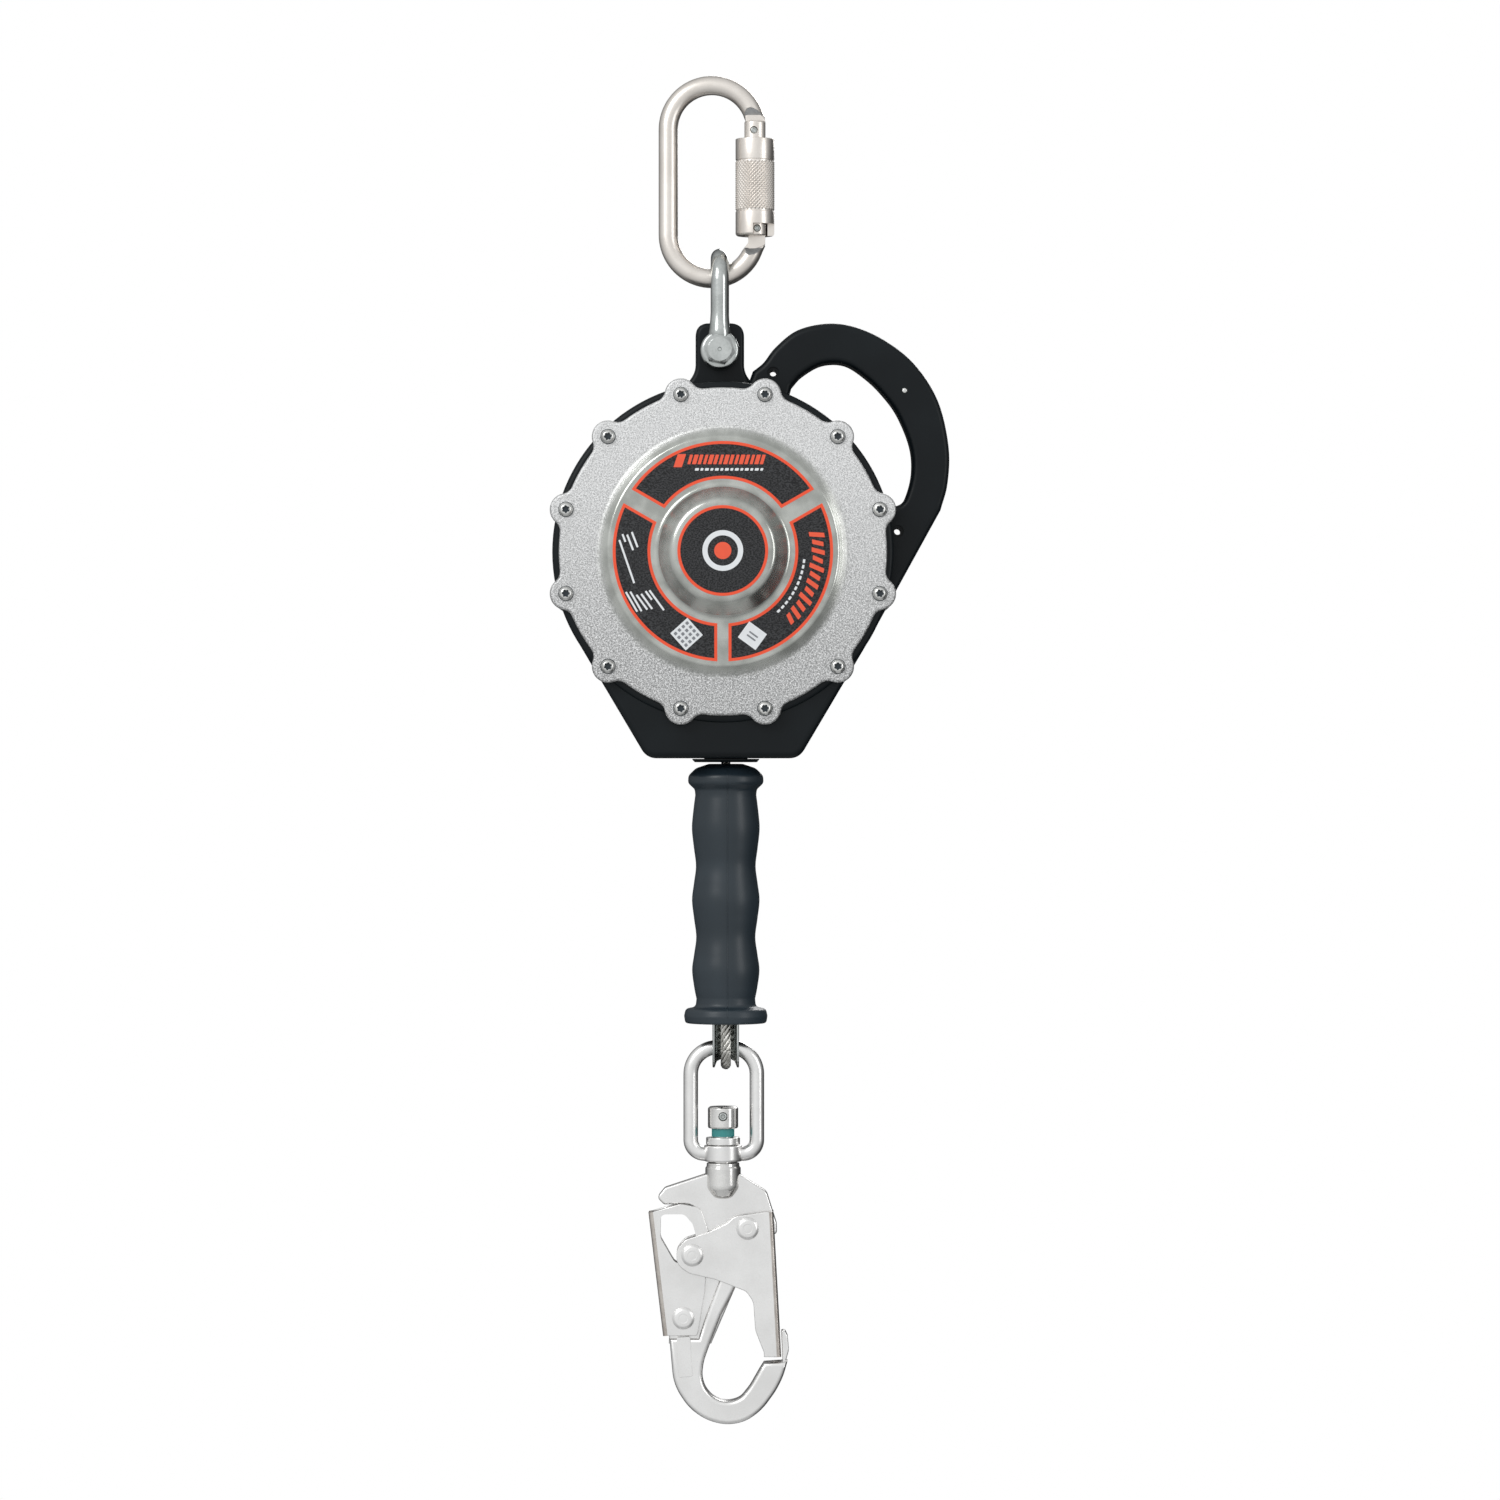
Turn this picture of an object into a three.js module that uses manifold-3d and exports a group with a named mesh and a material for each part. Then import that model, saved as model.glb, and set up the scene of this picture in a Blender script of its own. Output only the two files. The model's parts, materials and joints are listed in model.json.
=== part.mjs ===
// A self retracting lifeline, hung by its carabiner: millimetres, +Z up, front towards -Y.
// The origin is the inside top of the carabiner, where it bears on an anchor.
import * as THREE from "three";
import { mergeVertices } from "three/addons/utils/BufferGeometryUtils.js";
import Module from "manifold-3d";

const wasm = await Module();
wasm.setup();

// ---- Driving dimensions ----
const GAP = 0.3; // room left between two pieces that touch
const RUN = 0.3; // radial room of a pin in its hole

const CARABINER_ROD = 4.9; // radius of the rod
const CARABINER_BEND = 22.2; // centre-line radius of both bends
const CARABINER_TOP_BEND = -17.3; // height of the upper bend's centre
const CARABINER_LOW_BEND = -70.9;
const GATE_X = 21.8; // axis of the carabiner's gate
const GATE_PIN = { x: 22.9, z: -68 };
const LATCH_PIN = { x: 21.3, z: -18.2 };
const GATE_RADIUS = 6.1;
const GATE_TOP = -13.4;
const GATE_BOTTOM = -71.6;
const TANG = 2.5; // half thickness of the flats that enter the gate's slots

const BOLT = { x: 4, z: -130.5 }; // shackle bolt
const BOW_ROD = 4.6;
const BOW_TOP = -82.6; // centre of the bow's rod at its top
const LEG_Y = 12.75; // the shackle's legs, from the middle plane
const EYE_RADIUS = 9.85;

const HUB = { x: 5.7, z: -232.9 }; // axis of drum, covers and shaft
const CASE_RADIUS = 86;
const CASE_HALF = 28; // half thickness of the casing over the drum
const CAVITY_RADIUS = 66;
const LUG_X = BOLT.x - HUB.x; // lug and bolt, from the hub
const LUG_Z = BOLT.z - HUB.z;
const SCREW_CIRCLE = 81.6;
const SCREWS = 12;
const LOBE_RADIUS = 8.2;
const SCREW_HOLE = 3;
const DRUM_FLANGE = 62;
const DRUM_CORE = 34;
const TEETH = 12;
const PAWL_PIVOT = 36; // radius of the pawls' pivots

const LINE_X = 7; // axis of the cable, grip and rope eye
const CABLE = 2.4; // radius of the wire rope
const GRIP_TOP = -339.4;
const GRIP_LENGTH = 131.9;

const LINK = { x: 6, z: -483.7 }; // middle of the swivel link's top bar
const LINK_ROD = 3.7;
const HOOK = { x: 5.6, z: -541.8 }; // swivel axis, at the underside of the link's boss
const RIVET_A = { x: 12.5, z: -33.3 }; // gate pivot, from HOOK
const RIVET_B = { x: -15.5, z: -46.8 }; // guide rivet on the gate's tail
const RIVET_C = { x: -20.1, z: -78.9 }; // lock lever pivot
const PLATE = 4.1; // half thickness of the hook's upper plate
const FORGING = 6; // half thickness of the hook's lower forging

// ---- Materials ----
const finish = (color, roughness, metalness) =>
  new THREE.MeshStandardMaterial({ color, roughness, metalness });
const zinc = finish(0xc9beb2, 0.35, 1);
const brightSteel = finish(0xb9bcbd, 0.25, 1);
const castCover = finish(0xc4c7c9, 0.45, 1);
const darkPlastic = finish(0x15181b, 0.5, 0);
const gripRubber = finish(0x1b1e22, 0.6, 0);
const nickel = finish(0xd2d2d0, 0.3, 1);
const wireRope = finish(0x8d8f90, 0.35, 1);
const indicatorTeal = finish(0x2a8f92, 0.5, 0);
const innerSteel = finish(0x84888b, 0.4, 1);
const springSteel = finish(0x5b6470, 0.35, 1);
const bronze = finish(0xb08d57, 0.4, 1);
const frictionLining = finish(0x4a3b31, 0.9, 0);
const drumAlloy = finish(0xb4b7ba, 0.45, 1);

// ---- Solids ----
// A closed geometry as a solid, turned right side out.
function solid(geometry) {
  geometry.deleteAttribute("normal");
  geometry.deleteAttribute("uv");
  const merged = mergeVertices(geometry, 1e-4);
  const vertProperties = merged.attributes.position.array;
  const triVerts = new Uint32Array(merged.index.array);
  const make = () => new wasm.Manifold(new wasm.Mesh({ numProp: 3, vertProperties, triVerts }));
  const made = make();
  if (made.volume() > 0) return made;
  for (let i = 0; i < triVerts.length; i += 3) {
    [triVerts[i + 1], triVerts[i + 2]] = [triVerts[i + 2], triVerts[i + 1]];
  }
  return make();
}

const join = (first, ...others) => others.reduce((sum, other) => sum.add(other), first);
const cut = (first, ...others) => others.reduce((sum, other) => sum.subtract(other), first);

function mesh(name, made, material) {
  const { numProp, vertProperties, triVerts } = made.getMesh();
  const position = new Float32Array((vertProperties.length / numProp) * 3);
  for (let i = 0; i < position.length / 3; i++) {
    position.set(vertProperties.subarray(i * numProp, i * numProp + 3), i * 3);
  }
  const geometry = new THREE.BufferGeometry();
  geometry.setAttribute("position", new THREE.BufferAttribute(position, 3));
  geometry.setIndex(new THREE.BufferAttribute(new Uint32Array(triVerts), 1));
  geometry.computeVertexNormals();
  const made3d = new THREE.Mesh(geometry, material);
  made3d.name = name;
  return made3d;
}

function group(x, z, ...children) {
  const made = new THREE.Group();
  made.position.set(x, 0, z);
  made.add(...children);
  return made;
}

// An outline in the XZ plane, as thick as from y0 to y1.
function prism(shape, y0, y1, curveSegments = 12) {
  const geometry = new THREE.ExtrudeGeometry(shape, {
    depth: y1 - y0,
    bevelEnabled: false,
    curveSegments,
  });
  geometry.rotateX(Math.PI / 2).translate(0, y1, 0);
  return solid(geometry);
}

// A profile of [radius, height] points turned about the Y axis.
function turnedY(points, segments = 32, x = 0, z = 0) {
  const profile = points.map(([r, y]) => new THREE.Vector2(r, y));
  return solid(new THREE.LatheGeometry(profile, segments).translate(x, 0, z));
}

// The same about the Z axis.
function turnedZ(points, segments = 32, x = 0) {
  const profile = points.map(([r, z]) => new THREE.Vector2(r, z));
  const geometry = new THREE.LatheGeometry(profile, segments);
  return solid(geometry.rotateX(Math.PI / 2).translate(x, 0, 0));
}

const ringProfile = (inner, outer, low, high) => [
  [inner, low],
  [outer, low],
  [outer, high],
  [inner, high],
  [inner, low],
];
const rodProfile = (radius, low, high) => [
  [0, low],
  [radius, low],
  [radius, high],
  [0, high],
];
const ringY = (inner, outer, low, high, segments = 32, x = 0, z = 0) =>
  turnedY(ringProfile(inner, outer, low, high), segments, x, z);
const rodY = (radius, low, high, segments = 16, x = 0, z = 0) =>
  turnedY(rodProfile(radius, low, high), segments, x, z);
const ringZ = (inner, outer, low, high, segments = 16, x = 0) =>
  turnedZ(ringProfile(inner, outer, low, high), segments, x);
const rodZ = (radius, low, high, segments = 20, x = 0) =>
  turnedZ(rodProfile(radius, low, high), segments, x);

function box(x0, x1, y0, y1, z0, z1) {
  const geometry = new THREE.BoxGeometry(x1 - x0, y1 - y0, z1 - z0);
  return solid(geometry.translate((x0 + x1) / 2, (y0 + y1) / 2, (z0 + z1) / 2));
}

// A round bar along a row of points.
function bar(points, radius, steps, sides) {
  const vectors = points.map((p) => new THREE.Vector3(...p));
  const path = new THREE.CatmullRomCurve3(vectors, false, "centripetal");
  const section = new THREE.Shape().absarc(0, 0, radius, 0, 2 * Math.PI);
  const geometry = new THREE.ExtrudeGeometry(section, {
    extrudePath: path,
    steps,
    curveSegments: sides / 2,
  });
  return solid(geometry);
}

// Points on an arc, from angle a to angle b in degrees.
function arc(cx, cz, radius, a, b, count) {
  return Array.from({ length: count + 1 }, (_, i) => {
    const angle = THREE.MathUtils.degToRad(a + ((b - a) * i) / count);
    return [cx + radius * Math.cos(angle), cz + radius * Math.sin(angle)];
  });
}

// A polygon whose corners [x, z, radius] are rounded.
function rounded(corners, steps = 4) {
  const point = ([x, z]) => new THREE.Vector2(x, z);
  const points = [];
  corners.forEach(([x, z, radius = 0], i) => {
    const corner = point([x, z]);
    const before = corners.at(i - 1);
    const after = corners[(i + 1) % corners.length];
    const toBefore = point(before).sub(corner).normalize();
    const toAfter = point(after).sub(corner).normalize();
    const half = Math.acos(THREE.MathUtils.clamp(toBefore.dot(toAfter), -1, 1)) / 2;
    if (!radius || half > 1.5) {
      points.push(corner);
      return;
    }
    const room = 0.48 * Math.min(corner.distanceTo(point(before)), corner.distanceTo(point(after)));
    const reach = Math.min(radius / Math.tan(half), room);
    const start = corner.clone().addScaledVector(toBefore, reach);
    const end = corner.clone().addScaledVector(toAfter, reach);
    points.push(...new THREE.QuadraticBezierCurve(start, corner, end).getPoints(steps));
  });
  return new THREE.Shape(points);
}

const outline = (points) => new THREE.Shape(points.map(([x, z]) => new THREE.Vector2(x, z)));

// ---- Carabiner ----
function carabinerBody() {
  const path = [
    ...arc(0, CARABINER_LOW_BEND, CARABINER_BEND, -20, -180, 12),
    ...arc(0, CARABINER_TOP_BEND, CARABINER_BEND, 180, 20, 12),
  ].map(([x, z]) => [x, 0, z]);
  const rod = bar(path, CARABINER_ROD, 38, 8);
  const lowTang = prism(
    rounded([
      [18.4, -80],
      [27, -80],
      [27, -63.8, 4],
      [18.8, -63.8, 4],
      [18.4, -68],
    ]),
    -TANG,
    TANG,
  );
  const topTang = prism(
    rounded([
      [17, -8],
      [17, -14.6, 2],
      [24.2, -14.6, 1.5],
      [24.2, -20.9],
      [27, -20.9],
      [27, -8],
    ]),
    -TANG,
    TANG,
  );
  const pinHole = rodY(1.9, -5, 5, 12, GATE_PIN.x, GATE_PIN.z);
  return mesh("carabiner_body", cut(join(rod, lowTang, topTang), pinHole), zinc);
}

function gatePin(name, at) {
  const pin = rodY(1.6, -GATE_RADIUS + 0.4, GATE_RADIUS - 0.4, 12, at.x, at.z);
  return mesh(name, pin, zinc);
}

function carabinerGate() {
  const tube = rodZ(GATE_RADIUS, GATE_BOTTOM, GATE_TOP, 20, GATE_X);
  const half = TANG + 0.4;
  const lowSlot = box(10, 34, -half, half, GATE_BOTTOM - 1, -62);
  const topSlot = box(10, 34, -half, half, -26, GATE_TOP + 1);
  const holes = [GATE_PIN, LATCH_PIN].map((at) => rodY(1.9, -8, 8, 12, at.x, at.z));
  return mesh("carabiner_gate", cut(tube, lowSlot, topSlot, ...holes), zinc);
}

function carabinerSleeve() {
  const low = -71.5;
  const ring = turnedZ(
    [
      [GATE_RADIUS + GAP, low],
      [9.4, low],
      [9.9, low + 1],
      [9.9, -23.2],
      [9, -22.3],
      [GATE_RADIUS + GAP, -22.3],
      [GATE_RADIUS + GAP, low],
    ],
    28,
    GATE_X,
  );
  const notch = box(GATE_X - 1, 34, -12, 12, low - 1, -65.6);
  return mesh("carabiner_sleeve", cut(ring, notch), zinc);
}

const carabiner = group(
  0,
  0,
  carabinerBody(),
  gatePin("carabiner_hinge_pin", GATE_PIN),
  carabinerGate(),
  gatePin("carabiner_latch_pin", LATCH_PIN),
  carabinerSleeve(),
);

// ---- Shackle: its group stands at the bolt ----
function shackleBow() {
  const rise = BOW_TOP - BOLT.z - LEG_Y;
  const path = [[LEG_Y, 4], ...arc(0, rise, LEG_Y, 0, 180, 10), [-LEG_Y, 4]];
  const rod = bar(
    path.map(([y, z]) => [0, y, z]),
    BOW_ROD,
    18,
    8,
  );
  const eye = (y) => rodY(EYE_RADIUS, y - 4.4, y + 4.4, 18);
  const eyes = [eye(-LEG_Y), eye(LEG_Y)];
  const hole = rodY(4.8 + RUN, -20, 20, 16);
  return mesh("shackle_bow", cut(join(rod, ...eyes), hole), brightSteel);
}

const EYE_OUTSIDE = LEG_Y + 4.4;
const HEX_RADIUS = 8.1;

function shackleBolt() {
  const head = turnedY(
    [
      [0, -EYE_OUTSIDE - 6],
      [HEX_RADIUS - 1, -EYE_OUTSIDE - 6],
      [HEX_RADIUS, -EYE_OUTSIDE - 5],
      [HEX_RADIUS, -EYE_OUTSIDE - GAP],
      [0, -EYE_OUTSIDE - GAP],
    ],
    6,
  );
  const shank = rodY(4.8, -EYE_OUTSIDE - 2, EYE_OUTSIDE + 9);
  return mesh("shackle_bolt", join(head, shank), brightSteel);
}

function shackleNut() {
  const nut = ringY(5.1, HEX_RADIUS, EYE_OUTSIDE + GAP, EYE_OUTSIDE + 7, 6);
  const bore = rodY(4.8 + RUN, EYE_OUTSIDE - 2, EYE_OUTSIDE + 9, 16);
  return mesh("shackle_nut", cut(nut, bore), brightSteel);
}

const shackle = group(BOLT.x, BOLT.z, shackleBow(), shackleBolt(), shackleNut());

// ---- Housing: its group stands at the hub ----
// Angles of the screws, half a step off the vertical.
const screwAngles = Array.from({ length: SCREWS }, (_, i) => 75 - (i * 360) / SCREWS);
const onCircle = (radius, degrees) => {
  const angle = THREE.MathUtils.degToRad(degrees);
  return [radius * Math.cos(angle), radius * Math.sin(angle)];
};
const atScrews = (make, angles = screwAngles) =>
  angles.map((degrees) => make(...onCircle(SCREW_CIRCLE, degrees)));
const LUG_HALF = 12.3;
const LUG_TOP = LUG_Z + 14.3;
const LUG_THICK = 7.5;

// The load plate: a yoke over the drum, held by four screws, with a tongue in the lug.
function yoke(grow) {
  const inner = CAVITY_RADIUS + 2 - grow;
  const outer = 82.5 + grow;
  const band = outline([...arc(0, 0, outer, 30, 150, 14), ...arc(0, 0, inner, 150, 30, 14)]);
  const tongue = rounded([
    [LUG_X - 21 - grow, 74],
    [LUG_X - 9 - grow, 93, 4],
    [LUG_X - 9 - grow, LUG_TOP - 3 + grow, 7],
    [LUG_X + 9 + grow, LUG_TOP - 3 + grow, 7],
    [LUG_X + 9 + grow, 93, 4],
    [LUG_X + 21 + grow, 74],
  ]);
  const half = 2 + grow;
  const ears = atScrews((x, z) => rodY(6.3 + grow, -half, half, 8, x, z), [45, 75, 105, 135]);
  return join(prism(band, -half, half), prism(tongue, -half, half), ...ears);
}

function anchorPlate() {
  const holes = atScrews((x, z) => rodY(SCREW_HOLE, -5, 5, 6, x, z), [45, 75, 105, 135]);
  const boltHole = rodY(4.8 + RUN, -5, 5, 16, LUG_X, LUG_Z);
  return mesh("anchor_plate", cut(yoke(0), boltHole, ...holes), innerSteel);
}

// The carry handle's outside and the hole for the hand, from the hub.
function handleShape() {
  const shape = new THREE.Shape();
  shape.moveTo(10, 78);
  shape.lineTo(15, 92);
  shape.splineThru(
    [
      [20.5, 96.5],
      [26.3, 104],
      [37, 112.6],
      [51.2, 116.2],
      [64.9, 115.1],
      [80.7, 108.5],
      [96.4, 96.3],
      [108.6, 77.6],
      [114.2, 54.2],
      [113.7, 35.4],
      [110.1, 21.7],
    ].map(([x, z]) => new THREE.Vector2(x, z)),
  );
  shape.lineTo(74.7, -42.5);
  shape.lineTo(30, 0);
  const hole = new THREE.Path();
  const [x0, z0] = onCircle(CASE_RADIUS, 62);
  hole.moveTo(x0, z0);
  hole.absarc(0, 0, CASE_RADIUS, THREE.MathUtils.degToRad(62), THREE.MathUtils.degToRad(28), true);
  hole.lineTo(84.5, 24.5);
  hole.quadraticCurveTo(89.5, 22, 92.2, 28);
  hole.splineThru(
    [
      [95.4, 40],
      [94.6, 54],
      [88.3, 69.9],
      [80.7, 80.5],
      [72, 89],
      [61.5, 95.6],
      [50, 95.6],
      [40, 90],
      [34.6, 84.2],
    ].map(([x, z]) => new THREE.Vector2(x, z)),
  );
  shape.holes.push(hole);
  return shape;
}

const HANDLE_HALF = 11;
const HANDLE_HOLE = [88.3, 11]; // through the handle's root, beside the cover
const TIE_HOLE = [25.3, 91.2]; // a small hole beside the lug
const NOSE_HALF = 26;
const NOSE_BOTTOM = -103.9;

// The outside of the whole casing, both halves.
function casingBlank() {
  const disc = rodY(CASE_RADIUS, -CASE_HALF, CASE_HALF, 44);
  const lobes = atScrews((x, z) => rodY(7.8, -CASE_HALF, CASE_HALF, 8, x, z));
  const nose = prism(
    rounded([
      [-74.7, -42.5],
      [-38.4, NOSE_BOTTOM, 7],
      [38.4, NOSE_BOTTOM, 7],
      [74.7, -42.5],
    ]),
    -NOSE_HALF,
    NOSE_HALF,
  );
  const handle = prism(handleShape(), -HANDLE_HALF, HANDLE_HALF, 3);
  const lug = prism(
    rounded([
      [LUG_X - 26, 70],
      [LUG_X - LUG_HALF, 92, 8],
      [LUG_X - LUG_HALF, LUG_TOP, 6],
      [LUG_X + LUG_HALF, LUG_TOP, 6],
      [LUG_X + LUG_HALF, 92, 8],
      [LUG_X + 26, 70],
    ]),
    -LUG_THICK,
    LUG_THICK,
  );
  return join(disc, nose, handle, lug, ...lobes);
}

// What is taken out of both halves: drum space, cable way, load plate, holes.
function casingRoom() {
  const lineX = LINE_X - HUB.x;
  const drumSpace = rodY(CAVITY_RADIUS, -CASE_HALF - 1, CASE_HALF + 1, 32);
  const cableWay = prism(
    outline([
      [lineX - 7, -84],
      [lineX + 11, -84],
      [62, -30],
      [-20, -20],
    ]),
    -6,
    6,
  );
  const guideSeat = rodZ(11.4, NOSE_BOTTOM - 1, -83, 20, lineX);
  const screwHoles = atScrews((x, z) => rodY(SCREW_HOLE, -CASE_HALF - 1, CASE_HALF + 1, 6, x, z));
  const boltHole = rodY(4.8 + RUN, -9, 9, 16, LUG_X, LUG_Z);
  const handleHoles = [HANDLE_HOLE, TIE_HOLE].map(([x, z]) => rodY(1.7, -30, 30, 8, x, z));
  return join(drumSpace, cableWay, guideSeat, boltHole, yoke(GAP), ...handleHoles, ...screwHoles);
}

function casings() {
  const whole = cut(casingBlank(), casingRoom());
  const frontHalf = box(-200, 200, -60, -GAP / 2, -200, 200);
  const rearHalf = box(-200, 200, GAP / 2, 60, -200, 200);
  return [
    mesh("front_casing", whole.intersect(frontHalf), darkPlastic),
    mesh("rear_casing", whole.intersect(rearHalf), darkPlastic),
  ];
}

const COVER_FOOT = CASE_HALF + GAP; // where a cover meets the casing

// Half section of a cover, as [radius, distance from the middle plane].
const coverSection = [
  [0, 46],
  [25, 46],
  [35.5, 37.2],
  [57.5, 36],
  [62.5, 33.2],
  [82.5, 31.8],
  [82.5, COVER_FOOT],
  [64, COVER_FOOT],
  [55.5, 33.2],
  [33.5, 34],
  [24, 43],
  [0, 43],
];

function cover(name, side) {
  const dome = turnedY(
    coverSection.map(([r, y]) => [r, side * y]),
    32,
  );
  const span = (a, b) => (side < 0 ? [-b, -a] : [a, b]);
  const lobes = atScrews((x, z) => rodY(LOBE_RADIUS, ...span(COVER_FOOT, 33.4), 8, x, z));
  const holes = atScrews((x, z) => rodY(SCREW_HOLE, ...span(20, side < 0 ? 40 : 31.4), 6, x, z));
  const boss = side > 0 ? [ringY(6.3, 11, 34, 44.5, 20)] : [];
  return mesh(name, cut(join(dome, ...lobes, ...boss), ...holes), castCover);
}

function coverScrews() {
  return atScrews((x, z) => [x, z]).map(([x, z], i) => {
    const screw = turnedY(
      [
        [0, -36.4],
        [3.5, -35.4],
        [3.5, -33.7],
        [2.4, -33.7],
        [2.4, 31],
        [0, 31],
      ],
      8,
      x,
      z,
    );
    return mesh("cover_screw_" + String(i + 1).padStart(2, "0"), screw, brightSteel);
  });
}

function outletGuide() {
  const guide = turnedZ(
    [
      [6, NOSE_BOTTOM - 2],
      [16.2, NOSE_BOTTOM - 2],
      [17, NOSE_BOTTOM - GAP],
      [11.1, NOSE_BOTTOM - GAP],
      [11.1, -84],
      [6.5, -84],
      [3, -89],
      [3, NOSE_BOTTOM + 2],
      [6, NOSE_BOTTOM - 2],
    ],
    16,
    LINE_X - HUB.x,
  );
  return mesh("outlet_guide", guide, darkPlastic);
}

function shaftPieces() {
  const shaft = join(rodY(6, -41, 42.5, 20), rodY(8.8, 19, 23, 20));
  const nut = cut(ringY(5, 9.5, -40.4, -35, 6), rodY(6 + RUN, -50, -30, 20));
  return [mesh("main_shaft", shaft, innerSteel), mesh("shaft_nut", nut, innerSteel)];
}

// A ring with sawteeth inside, which the pawls catch.
function ratchetRing() {
  const shape = new THREE.Shape().absarc(0, 0, CAVITY_RADIUS - GAP, 0, 2 * Math.PI);
  const step = 360 / TEETH;
  const teeth = [];
  for (let i = 0; i < TEETH; i++) {
    const start = -26 + i * step;
    teeth.push(onCircle(57, start + 0.5), onCircle(57, start + 9));
    teeth.push(onCircle(51, start + step - 1), onCircle(51, start + step));
  }
  shape.holes.push(outline(teeth));
  return mesh("ratchet_ring", prism(shape, 17.9, 23.9, 24), innerSteel);
}

function springCase() {
  const cup = turnedY(
    [
      [6 + RUN, -34.7],
      [50, -34.7 + 2.2],
      [50, -14],
      [48.4, -14],
      [48.4, -31],
      [6 + RUN, -33.2],
      [6 + RUN, -34.7],
    ],
    24,
  );
  return mesh("spring_case", cup, innerSteel);
}

// A flat spiral strip between the drum's sleeve and the case.
function powerSpring() {
  const turns = 5;
  const steps = 44;
  const side = (offset) =>
    Array.from({ length: steps + 1 }, (_, i) => {
      const radius = 16 + (31 * i) / steps + offset;
      return onCircle(radius, (turns * 360 * i) / steps);
    });
  const strip = outline([...side(-0.5), ...side(0.5).reverse()]);
  return mesh("power_spring", prism(strip, -29.5, -15), springSteel);
}

// A pawl is drawn about its own pivot, then moved out to it and turned round the hub.
function pawl(name, turn) {
  const shape = rounded([
    [-5.5, 2],
    [-1, 6.2, 3],
    [5, 4, 3],
    [8, -8, 4],
    [8.5, -21.5],
    [5.2, -22],
    [-3, -9, 4],
  ]);
  const hole = rodY(2.5 + RUN, 10, 30, 14);
  const made = cut(prism(shape, 18.2, 22.8), hole).translate([PAWL_PIVOT, 0, 0]);
  return mesh(name, made.rotate([0, turn, 0]), innerSteel);
}

function brakePieces() {
  const pins = [1, -1].map((side, i) =>
    mesh("pawl_pin_" + (i + 1), rodY(2.5, 14.9, 24.2, 14, side * PAWL_PIVOT), innerSteel),
  );
  const plate = ringY(13.4, 43, 14.6, 17.6, 20);
  const holes = [1, -1].map((side) => rodY(2.5 + RUN, 10, 30, 14, side * PAWL_PIVOT));
  return [
    mesh("pawl_carrier", cut(plate, ...holes), innerSteel),
    mesh("friction_disc", ringY(14, 41, 12.3, 14.3, 20), frictionLining),
    pawl("pawl_1", 0),
    pawl("pawl_2", 180),
    ...pins,
  ];
}

function drum() {
  const body = turnedY(
    [
      [9, -30.5],
      [13, -30.5],
      [13, -12],
      [DRUM_FLANGE, -12],
      [DRUM_FLANGE, -10],
      [DRUM_CORE, -10],
      [DRUM_CORE, 10],
      [DRUM_FLANGE, 10],
      [DRUM_FLANGE, 12],
      [13, 12],
      [13, 17.6],
      [9, 17.6],
      [9, -30.5],
    ],
    24,
  );
  const bearing = (name, y) => mesh(name, ringY(6 + RUN, 9 - GAP, y, y + 6, 20), bronze);
  const wound = ringY(DRUM_CORE + GAP, 58.3, -9.7, 9.7, 24);
  return [
    mesh("drum", body, drumAlloy),
    bearing("drum_bearing_front", -30),
    bearing("drum_bearing_rear", 11),
    mesh("wound_cable", wound, wireRope),
  ];
}

// The cable from the outer turn on the drum to the outlet guide.
function cableLead() {
  const lineX = LINE_X - HUB.x;
  const lead = bar(
    [
      [43.7, 0, -42.6],
      [11, 0, -76],
      [lineX + 1.2, 0, -84.5],
      [lineX, 0, -88.9],
    ],
    CABLE,
    8,
    8,
  );
  return mesh("cable_lead", lead, wireRope);
}

const housing = group(
  HUB.x,
  HUB.z,
  anchorPlate(),
  ...casings(),
  cover("front_cover", -1),
  cover("rear_cover", 1),
  ...coverScrews(),
  outletGuide(),
  ...shaftPieces(),
  ratchetRing(),
  springCase(),
  powerSpring(),
  ...brakePieces(),
  ...drum(),
  cableLead(),
);

// ---- Lifeline: its group stands at the top of the grip ----
const POCKET_TOP = -30; // roof of the room in the grip for the ferrule and rope eye

function grip() {
  const profile = [
    [CABLE + 0.6, 0],
    [8, -0.4],
    [14.5, -2.6],
    [18.6, -6.4],
    [19.25, -9.4],
    [15.9, -13.4],
    [15.5, -15.5],
    [17.2, -33.3],
    [15.15, -52.1],
    [17.15, -69.4],
    [15, -88.2],
    [17.1, -105],
    [14.85, -122.4],
    [17, -123.8],
    [20.6, -124.6],
    [21.2, -127],
    [21.2, -130],
    [20, -GRIP_LENGTH],
    [16.2, -GRIP_LENGTH],
    [16.2, -125.5],
    [12.9, -121],
    [12.9, POCKET_TOP],
    [CABLE + 0.6, POCKET_TOP],
    [CABLE + 0.6, 0],
  ];
  return mesh("grip", turnedZ(profile, 16), gripRubber);
}

const FERRULE_TOP = -40;
const FERRULE_BOTTOM = -62;
const RUN_TOP = 17; // top of the cable run, in the outlet guide
const THIMBLE_ARC = LINK.z - GRIP_TOP + 1.1; // centre of the thimble's bend
const ROPE_BEND = 10;

function cableRun() {
  return mesh("cable_run", rodZ(CABLE, FERRULE_TOP + GAP, RUN_TOP, 12), wireRope);
}

function ferrule() {
  const shape = rounded([
    [-4.2, FERRULE_BOTTOM, 2],
    [4.2, FERRULE_BOTTOM, 2],
    [4.2, FERRULE_TOP, 2],
    [-4.2, FERRULE_TOP, 2],
  ]);
  return mesh("ferrule", prism(shape, -6.4, 6.4), innerSteel);
}

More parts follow.
